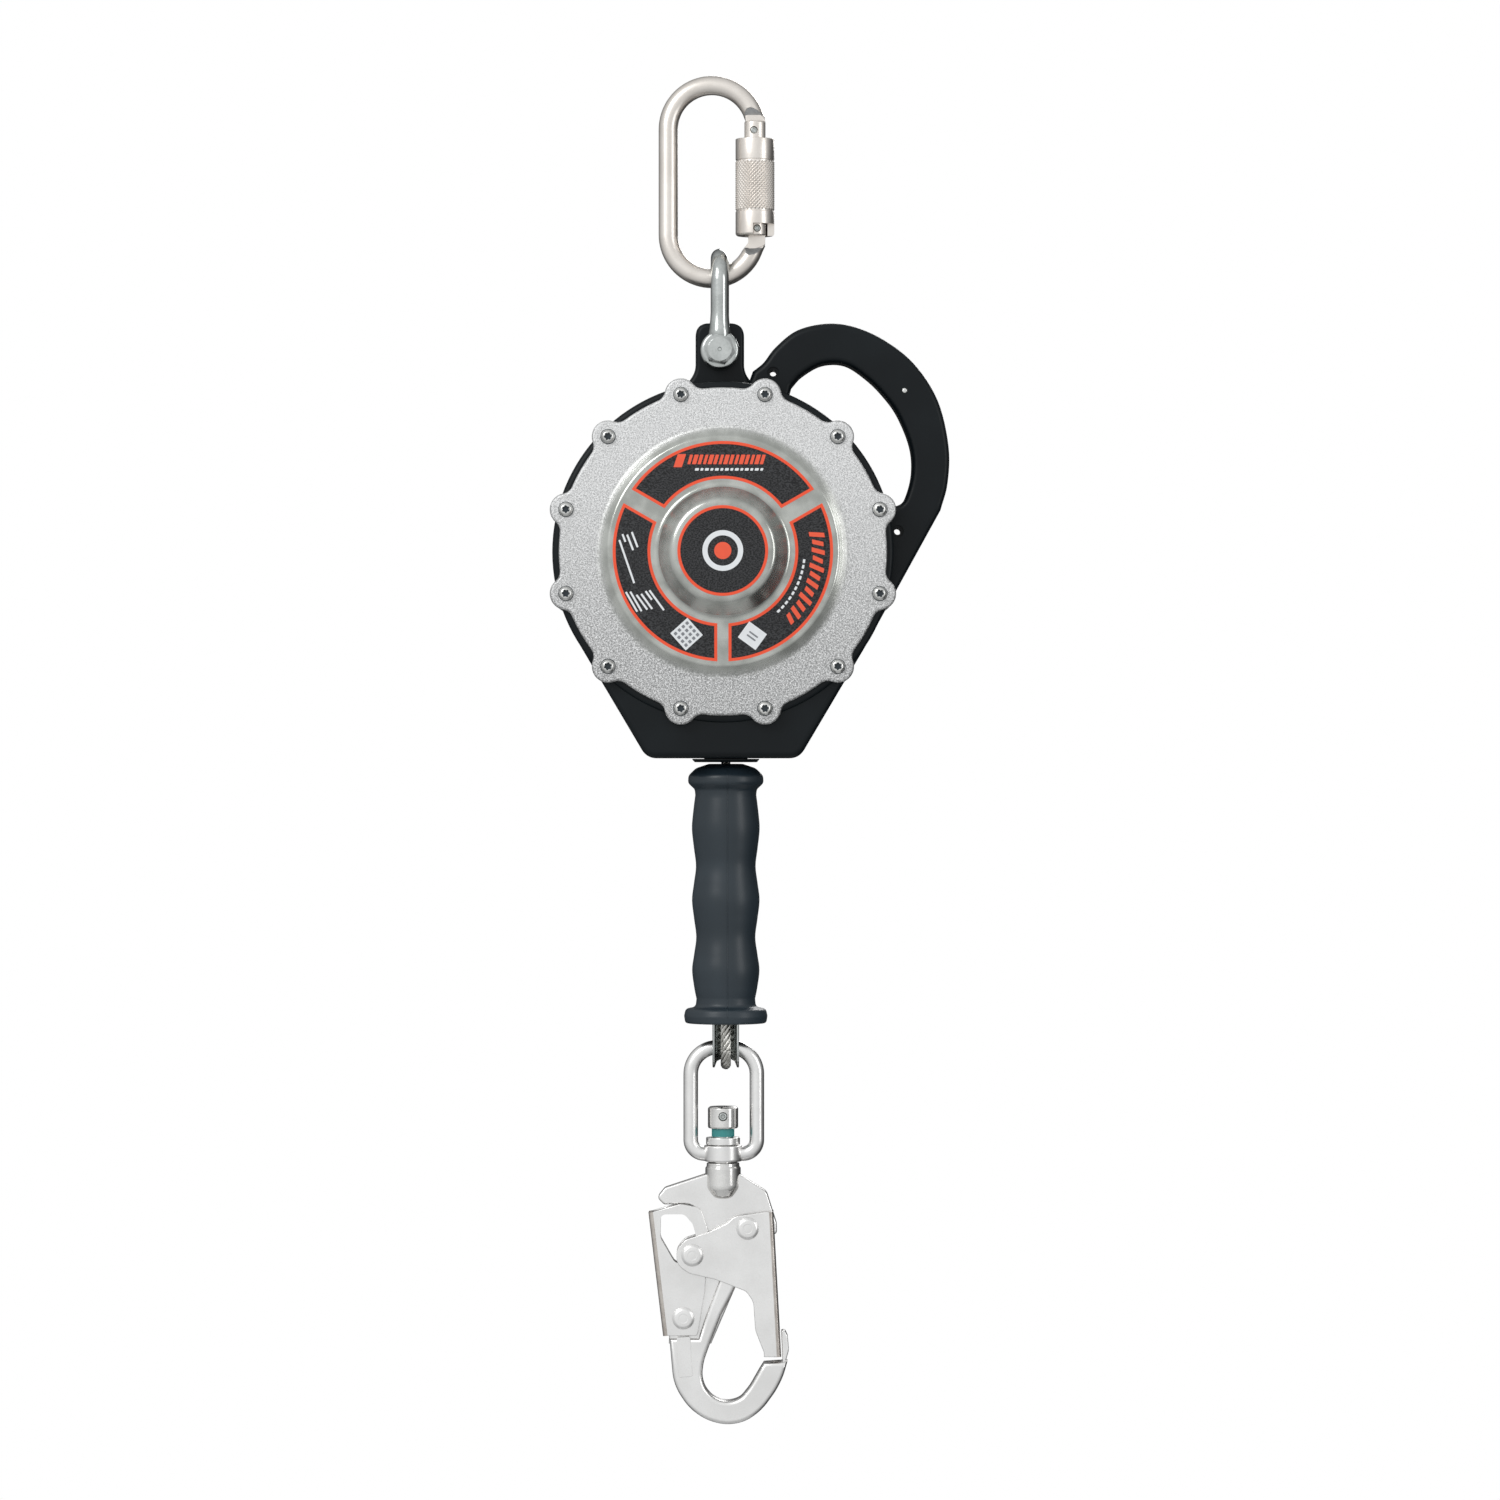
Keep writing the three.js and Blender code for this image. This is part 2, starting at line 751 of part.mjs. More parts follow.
const ropeWay = [
  [2.8, FERRULE_BOTTOM - GAP],
  [3.4, FERRULE_BOTTOM - 8],
  [9.3, -118],
  ...arc(0, THIMBLE_ARC, ROPE_BEND, 0, -180, 12),
  [-9.3, -118],
  [-3.4, FERRULE_BOTTOM - 8],
  [-2.8, FERRULE_BOTTOM - GAP],
].map(([y, z]) => [0, y, z]);

function cableEye() {
  return mesh("cable_eye", bar(ropeWay, CABLE, 28, 6), wireRope);
}

// A channel bent round the link's bar, open outwards for the rope.
function thimble() {
  const inner = 6;
  const floor = ROPE_BEND - CABLE - GAP;
  const outer = ROPE_BEND + 1.8;
  const u = (radius) => [
    [radius, THIMBLE_ARC + 12],
    ...arc(0, THIMBLE_ARC, radius, 0, -180, 10),
    [-radius, THIMBLE_ARC + 12],
  ];
  // Outlines are drawn in the YZ plane: made as prisms along Y, then turned.
  const wall = (a, b, x0, x1) =>
    prism(outline([...u(b), ...u(a).reverse()]), x0, x1).rotate([0, 0, -90]);
  const half = 6.75;
  const bed = wall(inner, floor, -half, half);
  const flanges = [-half, half - 2.6].map((x) => wall(floor - 0.2, outer, x, x + 2.6));
  return mesh("thimble", join(bed, ...flanges), brightSteel);
}

const lifeline = group(LINE_X, GRIP_TOP, grip(), cableRun(), ferrule(), cableEye(), thimble());

// ---- Swivel link: its group stands at the middle of the top bar ----
const LINK_HALF = 16.8;
const BOSS_BOTTOM = HOOK.z - LINK.z;
const BOSS_TOP = BOSS_BOTTOM + 8.5;

function swivelLink() {
  const side = [
    ...arc(3.3, -13.5, 13.5, 90, 0, 6),
    ...arc(LINK_HALF - 7, BOSS_BOTTOM + 11.2, 7, 0, -90, 4),
  ];
  const foot = [0, BOSS_BOTTOM + 4.2];
  const path = [foot, ...side.map(([x, z]) => [-x, z]).reverse(), ...side, foot];
  const rod = bar(
    path.map(([x, z]) => [x, 0, z]),
    LINK_ROD,
    36,
    8,
  );
  const shift = HOOK.x - LINK.x;
  const boss = rodZ(9.75, BOSS_BOTTOM + GAP, BOSS_TOP, 24, shift);
  const bore = rodZ(5.2, BOSS_BOTTOM - 6, BOSS_TOP + 6, 20, shift);
  return mesh("swivel_link", cut(join(rod, boss), bore), nickel);
}

const link = group(LINK.x, LINK.z, swivelLink());

// ---- Snap hook: its group stands on the swivel axis, at the underside of the boss ----
const SWIVEL_PIN = 4.7;

function hookBody() {
  const plate = prism(
    rounded(
      [
        [-9, -6],
        [-29.5, -12.8, 2],
        [-33.6, -17.8, 2.4],
        [-30, -21.4, 2],
        [-13.5, -21.4, 5],
        [-13.5, -36],
        [-10.2, -47],
        [-10.2, -53, 3],
        [-18, -57, 3],
        [-26.5, -68, 4],
        [-27.5, -92],
        [-6, -92],
        [5.6, -65],
        [14, -46],
        [22.5, -40.5, 3],
        [24, -37.6],
        [27.4, -36, 2],
        [27.3, -31, 2],
        [22.2, -14.8, 4],
        [8.4, -6],
      ],
      2,
    ),
    -PLATE,
    PLATE,
  );
  // The hook's bend: outer edge clockwise from the spine, then back along the throat.
  const bend = prism(
    rounded(
      [
        [-27.2, -89.2],
        [-25.1, -112.9, 12],
        [-17.3, -124.6, 8],
        [-8.6, -130.7, 6],
        [1.4, -133.3, 6],
        [11.2, -131.7, 6],
        [19.8, -125.6, 8],
        [26.8, -116, 8],
        [32, -103.5, 6],
        [33.5, -95.1, 5],
        [32.7, -88, 2],
        [30.5, -85.2, 1.5],
        [30.6, -100.7],
        [20.8, -101.4],
        [18.5, -105, 3],
        [13.7, -113.4, 5],
        [9, -119.3, 4],
        [4.4, -121],
        [-0.6, -121],
        [-5.4, -118.6, 3],
        [-9, -114.4, 3],
        [-10.6, -109.2, 3],
        [-10, -101.4, 4],
        [-5.9, -90.1],
        [-0.7, -77.1],
        [5.6, -65],
        [-3, -62],
        [-9, -78],
        [-12.5, -89.2],
      ],
      2,
    ),
    -FORGING,
    FORGING,
  );
  const neck = turnedZ(
    [
      [0, -18.4],
      [4, -17.6],
      [7, -15],
      [8.3, -10],
      [8.3, -GAP],
      [SWIVEL_PIN, -GAP],
      [SWIVEL_PIN, 20],
      [0, 20],
    ],
    24,
  );
  const holes = [
    rodY(3.5 + RUN, -9, 9, 14, RIVET_A.x, RIVET_A.z),
    rodY(2.6 + RUN, -9, 9, 14, RIVET_C.x, RIVET_C.z),
    rodY(7.2, -9, -1.5, 20, RIVET_A.x, RIVET_A.z),
    rodY(6.4, -9, -1.5, 20, RIVET_C.x, RIVET_C.z),
  ];
  return mesh("hook_body", cut(join(plate, bend, neck), ...holes), nickel);
}

function rivet(name, at, shank, inside) {
  const profile = (side) => [
    [0, side * (inside + 1.6)],
    [4.2, side * (inside + 1.1)],
    [5.6, side * inside],
  ];
  const both = [...profile(-1), [shank, -inside], [shank, inside], ...profile(1).reverse()];
  return mesh(name, turnedY(both, 10, at.x, at.z), nickel);
}

// Two cheeks with pin holes and a web that joins them.
function channel(shape, web, inside, outside, pins, slot) {
  const cheeks = [prism(shape, -outside, -inside), prism(shape, inside, outside)];
  const holes = pins.map(([at, radius]) => rodY(radius + RUN, -12, 12, 14, at.x, at.z));
  const made = cut(join(...cheeks, prism(web, -outside, outside)), ...holes);
  return slot ? cut(made, prism(slot, -12, 12)) : made;
}

function hookGate() {
  const cheek = rounded(
    [
      [-23.5, -44, 4],
      [-19.4, -39, 4],
      [-6.9, -34.9, 6],
      [1.9, -30.7, 4],
      [6, -27.1, 3],
      [22.1, -24.8],
      [24.6, -25, 1.5],
      [29.6, -98.4],
      [20.8, -98.4],
      [20.8, -96.2],
      [16.4, -84.9, 6],
      [15.4, -70.2, 5],
      [11.7, -65.1, 3],
      [-3.8, -59.1, 5],
      [-17.3, -56, 5],
      [-23.5, -51.5, 4],
    ],
    3,
  );
  const web = outline([
    [26, -38.9],
    [27.4, -38.7],
    [29.6, -98.4],
    [27.8, -98.4],
    [25.3, -56],
  ]);
  const pins = [
    [RIVET_A, 3.5],
    [RIVET_B, 2.6],
  ];
  return mesh("hook_gate", channel(cheek, web, 6.4, 8, pins), nickel);
}

function lockLever() {
  const cheek = rounded(
    [
      [-37.8, -25.3, 2],
      [-21.4, -20.9, 4],
      [-11.2, -23, 4],
      [-7.4, -34.9],
      [-9.2, -65.9],
      [-12.5, -85.8, 2],
      [-13.2, -87.8, 1],
      [-30.4, -87.8],
    ],
    3,
  );
  const web = outline([
    [-37.6, -27],
    [-35.9, -27],
    [-28.7, -87.8],
    [-30.4, -87.8],
  ]);
  const slot = rounded([
    [-31.6, -26.2, 2],
    [-19.6, -26.2, 3],
    [-15.4, -31, 3],
    [-12.2, -42, 3],
    [-12.2, -50.4, 3.4],
    [-24, -51.5, 4],
    [-31.8, -38, 4],
  ]);
  return mesh("lock_lever", channel(cheek, web, 4.4, 6, [[RIVET_C, 2.6]], slot), nickel);
}

function swivelTop() {
  const cap = cut(
    turnedZ(
      [
        [SWIVEL_PIN + RUN, 17.2],
        [7.2, 17.2],
        [7.7, 17.8],
        [7.7, 26.4],
        [6.4, 28],
        [0, 28.6],
        [0, 20.6],
        [SWIVEL_PIN + RUN, 20.6],
        [SWIVEL_PIN + RUN, 17.2],
      ],
      16,
    ),
    rodY(2.15 + RUN, -10, 10, 12, 0, 23.4),
  );
  return [
    mesh("swivel_cap", cap, nickel),
    mesh("swivel_cap_pin", rodY(2.15, -7.9, 7.9, 12, 0, 23.4), nickel),
    mesh("indicator_band", ringZ(SWIVEL_PIN + RUN, 5.75, 12.9, 16.9), indicatorTeal),
    mesh("swivel_washer", ringZ(SWIVEL_PIN + RUN, 8.6, 8.8, 12.6), nickel),
  ];
}

const torsionCoil = (name, at, inner, outer) =>
  mesh(name, ringY(inner, outer, -PLATE + 0.2, -1.8, 20, at.x, at.z), springSteel);

const hook = group(
  HOOK.x,
  HOOK.z,
  hookBody(),
  ...swivelTop(),
  rivet("gate_rivet", RIVET_A, 3.5, 8.3),
  rivet("lock_rivet", RIVET_C, 2.6, 6.3),
  hookGate(),
  rivet("guide_rivet", RIVET_B, 2.6, 8.3),
  lockLever(),
  torsionCoil("gate_spring", RIVET_A, 4.3, 6.7),
  torsionCoil("lock_spring", RIVET_C, 3.4, 6),
);

const assembly = new THREE.Group();
assembly.add(carabiner, shackle, housing, lifeline, link, hook);

export default assembly;
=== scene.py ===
# %% [markdown]
# # A self retracting lifeline
#
# This is the reel that catches a worker who falls. It hangs from a carabiner, holds six metres of wire
# rope on a drum behind two cast covers, and ends in a hand grip, a swivel and a snap hook. The packed
# CAD model is a frame that never moves: every piece below is made around it, in metres, and rides on one
# of its bodies by name.

# %% Load the frame
import json
import math
import bmesh
import bpy
from mathutils import Matrix, Vector


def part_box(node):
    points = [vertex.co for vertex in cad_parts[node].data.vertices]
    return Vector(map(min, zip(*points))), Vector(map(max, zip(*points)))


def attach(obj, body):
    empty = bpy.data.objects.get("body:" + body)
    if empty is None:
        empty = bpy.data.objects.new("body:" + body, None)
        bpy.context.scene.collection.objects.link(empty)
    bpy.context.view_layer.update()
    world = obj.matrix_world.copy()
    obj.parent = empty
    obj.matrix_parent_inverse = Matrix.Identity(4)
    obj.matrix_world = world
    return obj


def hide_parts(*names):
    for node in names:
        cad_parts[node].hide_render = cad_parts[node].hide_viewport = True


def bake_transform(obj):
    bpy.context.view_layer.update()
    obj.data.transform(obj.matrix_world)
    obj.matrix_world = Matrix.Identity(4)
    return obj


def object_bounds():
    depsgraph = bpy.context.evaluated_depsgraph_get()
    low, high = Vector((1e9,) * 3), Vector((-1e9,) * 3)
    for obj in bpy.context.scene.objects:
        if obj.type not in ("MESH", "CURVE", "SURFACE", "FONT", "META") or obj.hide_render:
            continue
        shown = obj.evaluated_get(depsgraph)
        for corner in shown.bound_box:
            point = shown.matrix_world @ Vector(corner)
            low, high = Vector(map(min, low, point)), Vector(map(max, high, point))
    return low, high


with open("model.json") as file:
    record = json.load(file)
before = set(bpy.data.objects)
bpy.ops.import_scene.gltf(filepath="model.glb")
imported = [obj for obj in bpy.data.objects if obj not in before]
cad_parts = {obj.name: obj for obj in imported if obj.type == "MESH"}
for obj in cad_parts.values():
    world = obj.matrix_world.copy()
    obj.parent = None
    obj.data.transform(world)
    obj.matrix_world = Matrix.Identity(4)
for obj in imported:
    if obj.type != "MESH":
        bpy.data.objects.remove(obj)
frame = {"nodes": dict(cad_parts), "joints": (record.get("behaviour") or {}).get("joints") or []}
cad_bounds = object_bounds()
MM = 0.001
print("CAD box, mm:", [round(v / MM) for corner in cad_bounds for v in corner])

# %% [markdown]
# The camera looks straight at the front cover, as a catalogue does. A long lens from nearly three metres
# keeps the round cover round and the carabiner as large as the hook. There is no free cord here: the wire
# rope is held at both ends by the object, so it is modelled with the lifeline further down.

# %% Camera
VIEW_HEIGHT = 762 * MM
LENS = 135
SENSOR = 36
middle = Vector((19.3 * MM, 0, -332.6 * MM))
distance = VIEW_HEIGHT * LENS / SENSOR
camera_data = bpy.data.cameras.new("camera")
camera_data.lens = LENS
camera_data.sensor_width = SENSOR
camera = bpy.data.objects.new("camera", camera_data)
camera.location = middle + Vector((0, -distance, 0))
camera.rotation_euler = (math.pi / 2, 0, 0)
bpy.context.scene.collection.objects.link(camera)
bpy.context.scene.camera = camera
print("camera stands", round(distance, 2), "m in front")

# %% [markdown]
# Metal shows what stands around it, so a plain white room would turn every steel part into paper. Here the
# sky seen by the camera is white, while the light that reaches the metal comes from a gradient: bright
# above and behind the camera, and dark behind the object, which draws a thin dark edge along every rod and
# rim. Three soft boxes add the long highlights. The floor is pale and lies below the lowest point that the
# hook reaches when the whole rope is out.

# %% Light, sky and floor
scene = bpy.context.scene
scene.view_settings.view_transform = "Standard"


def soft_box(name, place, width, height, power):
    """A rectangular lamp that faces the middle of the object."""
    data = bpy.data.lights.new(name, "AREA")
    data.shape = "RECTANGLE"
    data.size, data.size_y, data.energy = width, height, power
    lamp = bpy.data.objects.new(name, data)
    lamp.location = middle + Vector(place)
    lamp.rotation_euler = (-Vector(place)).to_track_quat("-Z", "Y").to_euler()
    scene.collection.objects.link(lamp)


soft_box("key_box", (-1.3, -1.7, 1.3), 0.9, 1.1, 16)
soft_box("fill_box", (1.7, -1.2, 0.3), 0.5, 1.3, 6)
soft_box("back_box", (0.5, 1.9, 1.0), 1.0, 1.0, 14)

sky = bpy.data.worlds.new("sky")
sky.use_nodes = True
scene.world = sky


def sky_node(kind, settings, inputs):
    made = sky.node_tree.nodes.new("ShaderNode" + kind)
    for key, value in settings.items():
        setattr(made, key, value)
    for key, value in inputs.items():
        if isinstance(value, bpy.types.NodeSocket):
            sky.node_tree.links.new(value, made.inputs[key])
        else:
            made.inputs[key].default_value = value
    return made


TO_LIGHT = Vector((-0.30, -0.82, 0.48)).normalized()
where = sky_node("TexCoord", {}, {}).outputs["Generated"]
facing = sky_node("VectorMath", {"operation": "DOT_PRODUCT"}, {0: where, 1: TO_LIGHT}).outputs["Value"]
spread = sky_node("MapRange", {}, {0: facing, 1: -1.0, 2: 1.0}).outputs[0]
ramp = sky_node("ValToRGB", {}, {0: spread})
stops = ((0.0, 0.04), (0.22, 0.07), (0.42, 0.34), (0.6, 0.60), (0.84, 0.80), (1.0, 1.0))
for _ in stops[2:]:
    ramp.color_ramp.elements.new(0.5)
for element, (position, grey) in zip(ramp.color_ramp.elements, stops):
    element.position, element.color = position, (grey * 0.98, grey * 0.995, grey, 1)
seen = sky_node("LightPath", {}, {}).outputs["Is Camera Ray"]
mix = sky_node("Mix", {"data_type": "RGBA"}, {0: seen, 6: ramp.outputs[0], 7: (1, 1, 1, 1)})
sky.node_tree.links.new(mix.outputs[2], sky.node_tree.nodes["Background"].inputs["Color"])

payout_joint = next(joint for joint in frame["joints"] if joint["name"] == "lifeline_payout")
PAYOUT = payout_joint["range_m"][1]
floor_bm = bmesh.new()
bmesh.ops.create_grid(floor_bm, x_segments=1, y_segments=1, size=4)
bmesh.ops.translate(floor_bm, verts=floor_bm.verts, vec=(0, 0, cad_bounds[0].z - PAYOUT - 0.3))
floor_mesh = bpy.data.meshes.new("floor")
floor_bm.to_mesh(floor_mesh)
floor_bm.free()
floor = bpy.data.objects.new("floor", floor_mesh)
scene.collection.objects.link(floor)
print("floor", round(floor_mesh.vertices[0].co.z, 2), "m, under a payout of", PAYOUT, "m")

# %% [markdown]
# Shader maths reads best as sums. `Wire` wraps the output of a node, and its operators add Math nodes, so a
# mask can be written as `1 - grain * 0.4`. `Finish` is one material: `node` adds any other node, with its
# settings first and then the values or wires of its inputs, and `set` feeds the shader.

# %% Wires and finishes
class Wire:
    """A socket that can be used in sums."""

    def __init__(self, finish, socket):
        self.finish, self.socket = finish, socket

    def maths(self, operation, *values):
        return self.finish.node("Math", {"operation": operation}, dict(enumerate(values)))

    def __add__(self, other):
        return self.maths("ADD", self, other)

    def __sub__(self, other):
        return self.maths("SUBTRACT", self, other)

    def __rsub__(self, other):
        return self.maths("SUBTRACT", other, self)

    def __mul__(self, other):
        return self.maths("MULTIPLY", self, other)

    def __pow__(self, other):
        return self.maths("POWER", self, other)

    __radd__ = __add__
    __rmul__ = __mul__

    def between(self, low, high):
        """0 below low, 1 above high, and smooth on the way."""
        settings = {"interpolation_type": "SMOOTHSTEP"}
        return self.finish.node("MapRange", settings, {0: self, 1: low, 2: high})


class Finish:
    """A material made of nodes around one Principled shader."""

    def __init__(self, name, slot, **constants):
        self.slot = slot
        self.material = bpy.data.materials.new(name)
        self.material.use_nodes = True
        self.tree = self.material.node_tree
        self.shader = self.tree.nodes["Principled BSDF"]
        for socket, value in constants.items():
            self.shader.inputs[socket.replace("_", " ")].default_value = value
        self.place = self.node("TexCoord", {}, {}, "Object")

    def node(self, kind, settings, inputs, output=0):
        made = self.tree.nodes.new("ShaderNode" + kind)
        for key, value in settings.items():
            setattr(made, key, value)
        for key, value in inputs.items():
            if isinstance(value, Wire):
                self.tree.links.new(value.socket, made.inputs[key])
            else:
                made.inputs[key].default_value = value
        return Wire(self, made.outputs[output])

    def set(self, socket, value):
        self.tree.links.new(value.socket, self.shader.inputs[socket])

    def noise(self, scale, detail=3, rough=0.5, place=None):
        inputs = {"Vector": place or self.place, "Scale": scale, "Detail": detail, "Roughness": rough}
        return self.node("TexNoise", {}, inputs, "Fac")

    def stretch(self, x, y, z):
        """The place on the piece, drawn out along an axis."""
        return self.node("Mapping", {}, {"Vector": self.place, "Scale": (x, y, z)})

    def blend(self, factor, first, second):
        inputs = {"Factor": factor, 6: first, 7: second}
        return self.node("Mix", {"data_type": "RGBA"}, inputs, 2)

    def bump(self, height, distance, strength=1.0):
        inputs = {"Height": height, "Distance": distance, "Strength": strength}
        self.set("Normal", self.node("Bump", {}, inputs))


print("sockets of the shader are set once, wires feed what changes over a surface")

# %% [markdown]
# Nearly every part of this reel is turned, cut from plate or bent from rod, so three helpers make most of
# the shapes, all in millimetres: `turned` spins a half section, `slab` fills an outline, thickens it along Y
# and rounds its rims, and `bent` runs a round bar along a path. `carve` cuts one shape with another, as a
# drill or a mill does. `rounded` softens the corners of an outline, and `flowing` draws a curve through points.

# %% Outlines
def rounded(corners, steps=6, closed=True):
    """Points of an outline whose corners (x, z, radius) are rounded."""
    points = []
    for i, (x, z, *radius) in enumerate(corners):
        corner = Vector((x, z))
        before = Vector(corners[i - 1][:2]) - corner
        after = Vector(corners[(i + 1) % len(corners)][:2]) - corner
        ends = not closed and i in (0, len(corners) - 1)
        half = 0 if ends else before.angle(after) / 2
        if ends or not radius or half > 1.54:
            points.append(corner)
            continue
        reach = min(radius[0] / math.tan(half), 0.48 * min(before.length, after.length))
        start, end = corner + before.normalized() * reach, corner + after.normalized() * reach
        for k in range(steps + 1):
            t = k / steps
            points.append(start * (1 - t) ** 2 + corner * 2 * t * (1 - t) + end * t ** 2)
    return points


def arc(x, z, radius, first, last, steps=12):
    """Points on an arc, from one angle to another in degrees."""
    angles = (math.radians(first + (last - first) * k / steps) for k in range(steps + 1))
    return [Vector((x + radius * math.cos(a), z + radius * math.sin(a))) for a in angles]


def flowing(points, steps=6):
    """A smooth open curve through every point."""
    dots = [Vector(p) for p in points]
    dots = [dots[0] * 2 - dots[1], *dots, dots[-1] * 2 - dots[-2]]
    curve = []
    for a, b, c, d in zip(dots, dots[1:], dots[2:], dots[3:]):
        for k in range(steps):
            t = k / steps
            bend = (2 * a - 5 * b + 4 * c - d) * t ** 2 + (3 * b - a - 3 * c + d) * t ** 3
            curve.append(b + ((c - a) * t + bend) / 2)
    return [*curve, dots[-2]]


print("rounded square:", len(rounded([(0, 0, 1), (9, 0, 1), (9, 9, 1), (0, 9, 1)])), "points")


# %% Turning, plate and rod
AXES = {"x": (1, 0, 0), "y": (0, 1, 0), "z": (0, 0, 1)}
LIES = {"x": lambda r, h: (h, r, 0), "y": lambda r, h: (r, h, 0), "z": lambda r, h: (r, 0, h)}


def turned(profile, axis, centre=(0, 0, 0), steps=64, closed=False):
    """A half section of (radius, height) points spun round an axis."""
    bm = bmesh.new()
    verts = [bm.verts.new(LIES[axis](*point)) for point in profile]
    pairs = zip(verts, verts[1:] + verts[:1] if closed else verts[1:])
    geometry = verts + [bm.edges.new(pair) for pair in pairs]
    turn = {"axis": AXES[axis], "cent": (0, 0, 0), "angle": math.tau, "use_merge": True}
    bmesh.ops.spin(bm, geom=geometry, steps=steps, **turn)
    bmesh.ops.remove_doubles(bm, verts=bm.verts, dist=1e-4)
    bmesh.ops.recalc_face_normals(bm, faces=bm.faces)
    bmesh.ops.translate(bm, verts=bm.verts, vec=centre)
    return bm


def round_rims(bm, size, steps=3, turn=0.9, rule=lambda edge: True):
    """Rounds the sharp edges that keep to the rule."""
    sharp = [e for e in bm.edges if len(e.link_faces) == 2 and e.calc_face_angle() > turn]
    rims = [e for e in sharp if rule(e)]
    shape = {"affect": "EDGES", "segments": steps, "profile": 0.5, "material": -1}
    bmesh.ops.bevel(bm, geom=rims, offset=size, clamp_overlap=False, **shape)
    return bm


def slab(outline, y0, y1, edge=0.6, steps=3):
    """An outline in X and Z as a plate from y0 to y1, with its rims rounded."""
    bm = bmesh.new()
    verts = [bm.verts.new((x, y0, z)) for x, z in outline]
    for pair in zip(verts, verts[1:] + verts[:1]):
        bm.edges.new(pair)
    bm.faces.new(verts)
    raised = bmesh.ops.extrude_face_region(bm, geom=bm.faces[:])["geom"]
    far = [part for part in raised if isinstance(part, bmesh.types.BMVert)]
    bmesh.ops.translate(bm, verts=far, vec=(0, y1 - y0, 0))
    bmesh.ops.recalc_face_normals(bm, faces=bm.faces)
    if edge:
        level = lambda e: abs(e.verts[0].co.y - e.verts[1].co.y) < 1e-4
        round_rims(bm, edge, steps, rule=level)
    return bm


def block(low, high):
    """A box between two corners, for cutting."""
    bm = bmesh.new()
    bmesh.ops.create_cube(bm, size=1)
    bmesh.ops.scale(bm, verts=bm.verts, vec=Vector(high) - Vector(low))
    bmesh.ops.translate(bm, verts=bm.verts, vec=(Vector(high) + Vector(low)) / 2)
    return bm


def bent(path, radius, closed=False, sides=8, widths=None):
    """A round bar along a path of points, thicker or thinner by the widths."""
    curve = bpy.data.curves.new("path", "CURVE")
    curve.dimensions = "3D"
    curve.bevel_depth, curve.bevel_resolution, curve.use_fill_caps = radius, sides, True
    spline = curve.splines.new("POLY")
    spline.points.add(len(path) - 1)
    spline.points.foreach_set("co", [value for point in path for value in (*point, 1)])
    spline.points.foreach_set("radius", widths or [1.0] * len(path))
    spline.use_cyclic_u = closed
    holder = bpy.data.objects.new("path", curve)
    mesh = bpy.data.meshes.new_from_object(holder)
    bm = bmesh.new()
    bm.from_mesh(mesh)
    bmesh.ops.remove_doubles(bm, verts=bm.verts, dist=1e-4)
    bmesh.ops.recalc_face_normals(bm, faces=bm.faces)
    bpy.data.objects.remove(holder)
    bpy.data.meshes.remove(mesh)
    return bm


def moved(bm, *offset):
    bmesh.ops.translate(bm, verts=bm.verts, vec=offset)
    return bm


def rod(radius, y0, y1, x=0, z=0, steps=32):
    """A plain pin along Y, for drilling."""
    return turned([(0, y0), (radius, y0), (radius, y1), (0, y1)], "y", (x, 0, z), steps)


def as_object(bm, name):
    mesh = bpy.data.meshes.new(name)
    bm.to_mesh(mesh)
    bm.free()
    return bpy.data.objects.new(name, mesh)


def carve(bm, *tools, mode="DIFFERENCE"):
    """One shape with others cut from it, or kept only where they meet."""
    work = as_object(bm, "work")
    scene.collection.objects.link(work)
    cutters = [as_object(tool, "cutter") for tool in tools]
    for cutter in cutters:
        scene.collection.objects.link(cutter)
        boolean = work.modifiers.new("cut", "BOOLEAN")
        boolean.operation, boolean.solver, boolean.object = mode, "EXACT", cutter
    cut = bpy.data.meshes.new_from_object(work.evaluated_get(bpy.context.evaluated_depsgraph_get()))
    result = bmesh.new()
    result.from_mesh(cut)
    for done in (work, *cutters):
        bpy.data.meshes.remove(done.data)
    bpy.data.meshes.remove(cut)
    return result


def grown(*shapes):
    """Several shapes as one mesh."""
    whole = bmesh.new()
    for bm in shapes:
        part = bpy.data.meshes.new("part")
        bm.to_mesh(part)
        bm.free()
        whole.from_mesh(part)
        bpy.data.meshes.remove(part)
    return whole


print("a turned pin has", len(turned([(0, 0), (2, 0), (2, 9), (0, 9)], "y").faces), "faces")


# %% [markdown]
# `piece` turns a shape in millimetres into a finished object: it scales it to metres, shades it smooth up to
# a sharp edge, gives the large flat faces the last word on shading, gives it the material of its finish, names
# the body that it rides on, and hides the CAD nodes that it stands for.

# %% Finished pieces
made_pieces = {}


def piece(name, shape, body, finish, stands_for=(), crease=38, fair=True):
    bmesh.ops.scale(shape, vec=(MM, MM, MM), verts=shape.verts)
    made = as_object(shape, name)
    mesh = made.data
    mesh.shade_smooth()
    mesh.set_sharp_from_angle(angle=math.radians(crease))
    mesh.materials.append(finish.material)
    scene.collection.objects.link(made)
    if fair:
        made.modifiers.new("fair", "WEIGHTED_NORMAL").keep_sharp = True
    if body:
        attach(made, body)
    if stands_for:
        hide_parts(*stands_for)
    made_pieces[name] = len(mesh.polygons)
    return made


def centre_of(node):
    """The middle of a CAD node, in millimetres."""
    low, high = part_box(node)
    return (Vector(low) + Vector(high)) / 2 / MM


HUB = centre_of("front_cover")
BOLT = centre_of("shackle_bolt")
GATE = centre_of("carabiner_gate")
LINE = centre_of("grip")
LINK = centre_of("swivel_link")
HOOK = centre_of("swivel_cap")
print("hub at", [round(v, 1) for v in HUB], "line at x", round(LINE.x, 1))
